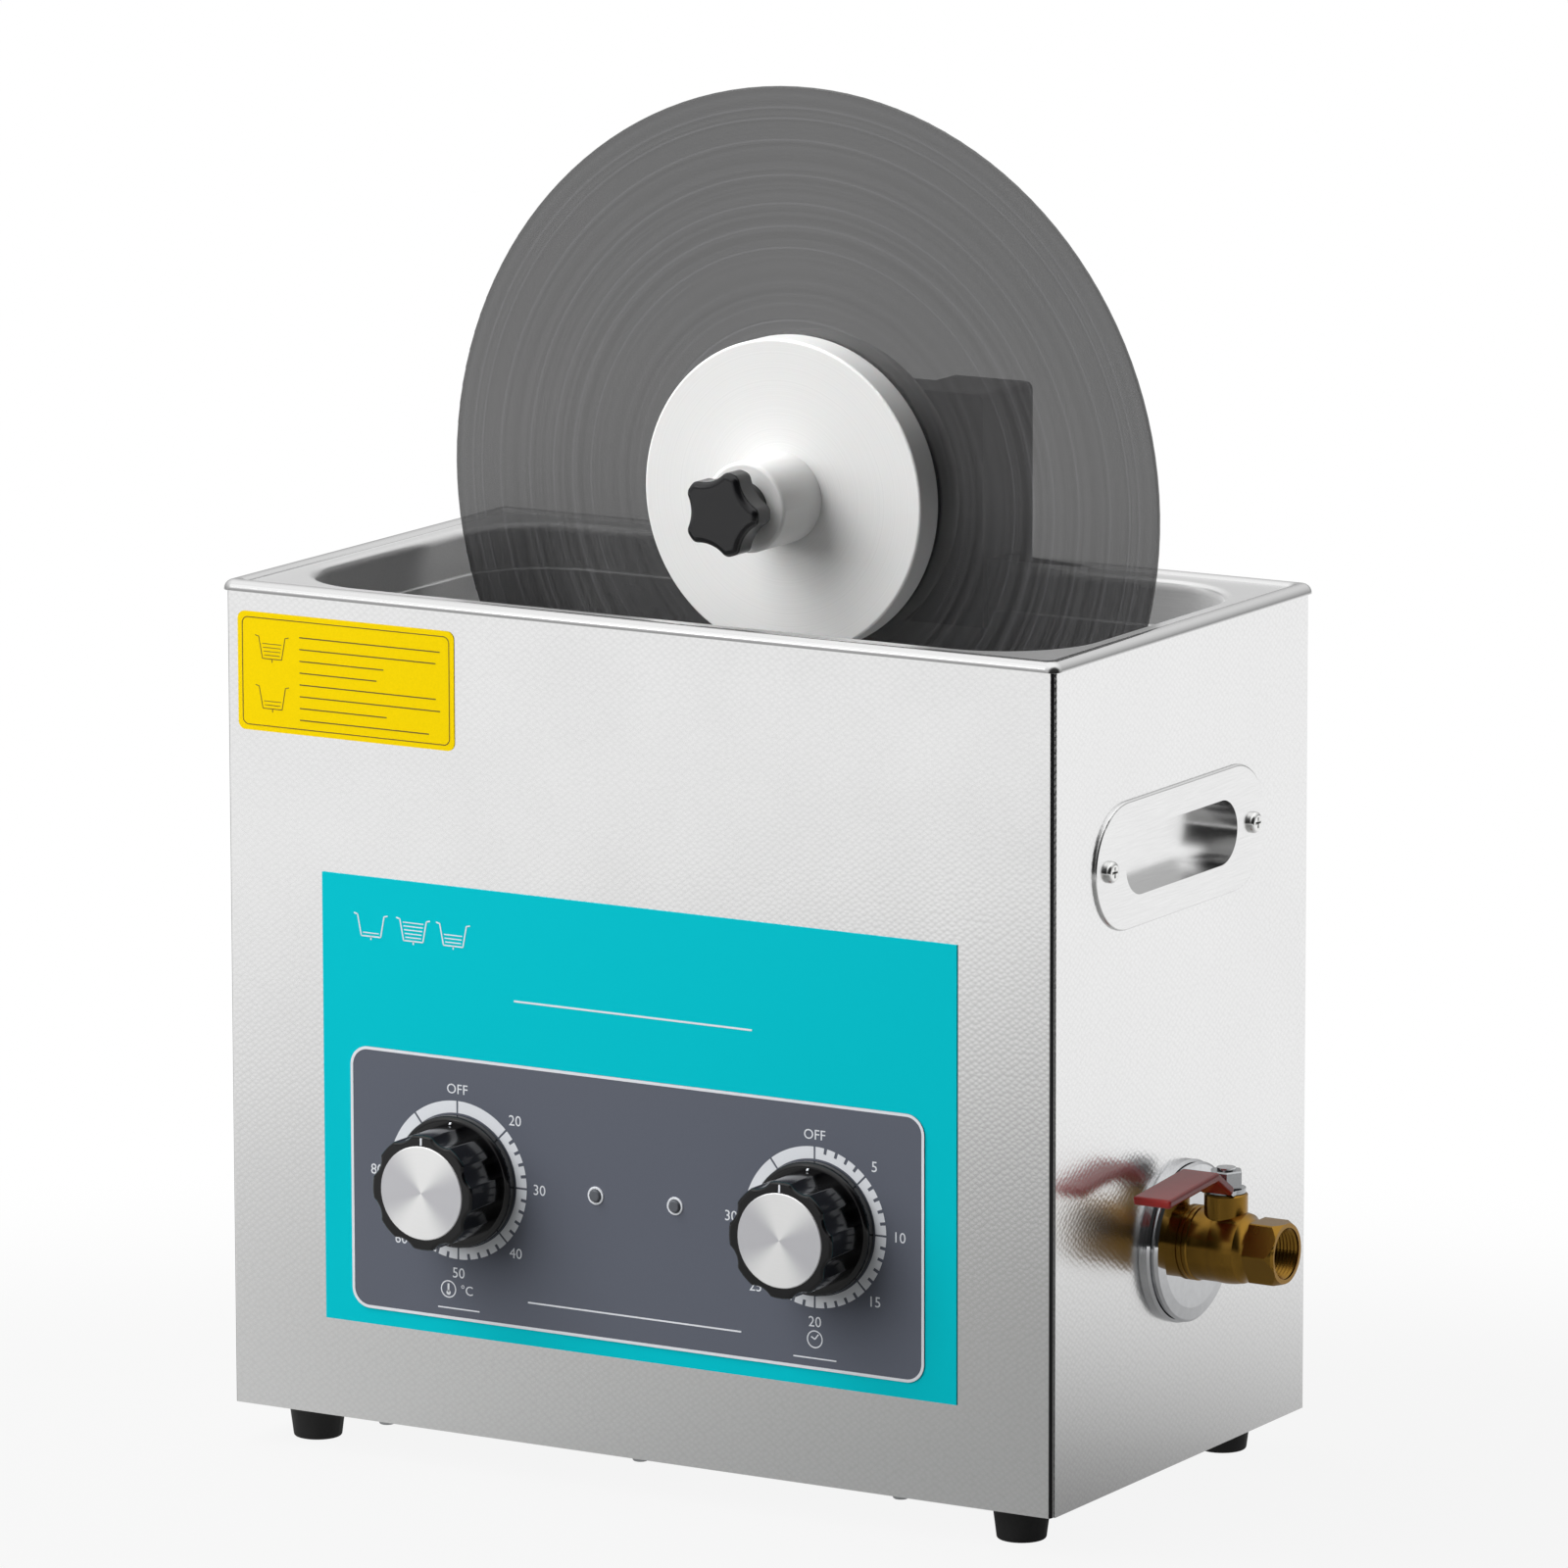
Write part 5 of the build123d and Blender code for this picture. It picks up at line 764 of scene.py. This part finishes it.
def makeWorld():
    world = bpy.data.worlds.new("studio")
    bpy.context.scene.world = world
    world.use_nodes = True
    tree = world.node_tree
    path = addNode(tree, "ShaderNodeLightPath")
    lit = tree.nodes["Background"]
    lit.inputs["Color"].default_value = linear(sky["colour"])
    towards = addNode(tree, "ShaderNodeTexCoord").outputs["Generated"]

    def patch(name):  # how far a soft round patch of the room reaches in a direction, times its change
        values = sky[name]
        aside = addNode(tree, "ShaderNodeVectorMath", {1: Vector(values["towards"]).normalized()},
                        {0: towards}, operation="DOT_PRODUCT")
        return addNode(tree, "ShaderNodeMapRange", {
            "From Min": values["start"], "From Max": values["stop"], "To Min": 0, "To Max": values["change"]},
            {"Value": aside.outputs["Value"]}, interpolation_type="SMOOTHSTEP").outputs["Result"]

    # metal sees dim walls under a brighter ceiling, a pale floor, one window and one dark side
    height = addNode(tree, "ShaderNodeSeparateXYZ", links={"Vector": towards}).outputs["Z"]
    above = addNode(tree, "ShaderNodeMapRange", {
        "From Min": 0, "From Max": sky["zenithHeight"], "To Min": sky["horizon"], "To Max": sky["zenith"]},
        {"Value": height})
    under = addNode(tree, "ShaderNodeMapRange", {
        "From Min": sky["belowFull"], "From Max": sky["belowFrom"], "To Min": 1, "To Max": 0},
        {"Value": height}, interpolation_type="SMOOTHSTEP")
    room = addNode(tree, "ShaderNodeMix", {"B": sky["below"]},
                   {"Factor": under.outputs["Result"], "A": above.outputs["Result"]}, data_type="FLOAT")
    shaded = addNode(tree, "ShaderNodeMath", links={0: room.outputs["Result"], 1: patch("dark"),
                                                    2: room.outputs["Result"]}, operation="MULTIPLY_ADD")
    mirrored = addNode(tree, "ShaderNodeMath", links={0: shaded.outputs[0], 1: patch("window")},
                       operation="ADD")
    soft = addNode(tree, "ShaderNodeMath", {0: sky["diffuse"], 2: sky["diffuse"]}, {1: patch("rightWall")},
                   operation="MULTIPLY_ADD")
    gloss = addNode(tree, "ShaderNodeMix", links={
        "Factor": path.outputs["Is Glossy Ray"], "A": soft.outputs[0], "B": mirrored.outputs[0]},
        data_type="FLOAT")
    tree.links.new(gloss.outputs["Result"], lit.inputs["Strength"])
    white = addNode(tree, "ShaderNodeBackground", {"Color": (1, 1, 1, 1), "Strength": 1})
    blend = addNode(tree, "ShaderNodeMixShader", links={"Fac": seenDirectly(tree, path),
                                                        1: lit.outputs[0], 2: white.outputs[0]})
    tree.links.new(blend.outputs[0], tree.nodes["World Output"].inputs["Surface"])


# the two large lamps aren't mirrored, because in polished steel they would show as white squares
lamps = dict(aim=(0, 0, 0.2),
             key=dict(place=(-1.4, -1.8, 1.6), size=(2.6, 2.6), energy=77, mirrored=False),
             glint=dict(place=(-1.3, -2.0, 1.5), size=(0.3, 0.3), energy=0.8, mirrored=True),
             top=dict(place=(-0.9, 0.0, 1.8), size=(1.8, 1.3), energy=46, mirrored=False))


def addLamp(name):
    values = lamps[name]
    data = bpy.data.lights.new(name, "AREA")
    data.shape = "RECTANGLE"
    data.size, data.size_y = values["size"]
    data.energy = values["energy"]
    lamp = bpy.data.objects.new(name, data)
    lamp.location = values["place"]
    lamp.rotation_mode = "QUATERNION"
    lamp.rotation_quaternion = (Vector(lamps["aim"]) - Vector(values["place"])).to_track_quat("-Z", "Y")
    lamp.visible_glossy = values["mirrored"]
    bpy.context.scene.collection.objects.link(lamp)


makeFloor()
makeWorld()
for name in ("key", "glint", "top"):
    addLamp(name)
bpy.context.scene.view_settings.view_transform = "Standard"
print("studio ready")
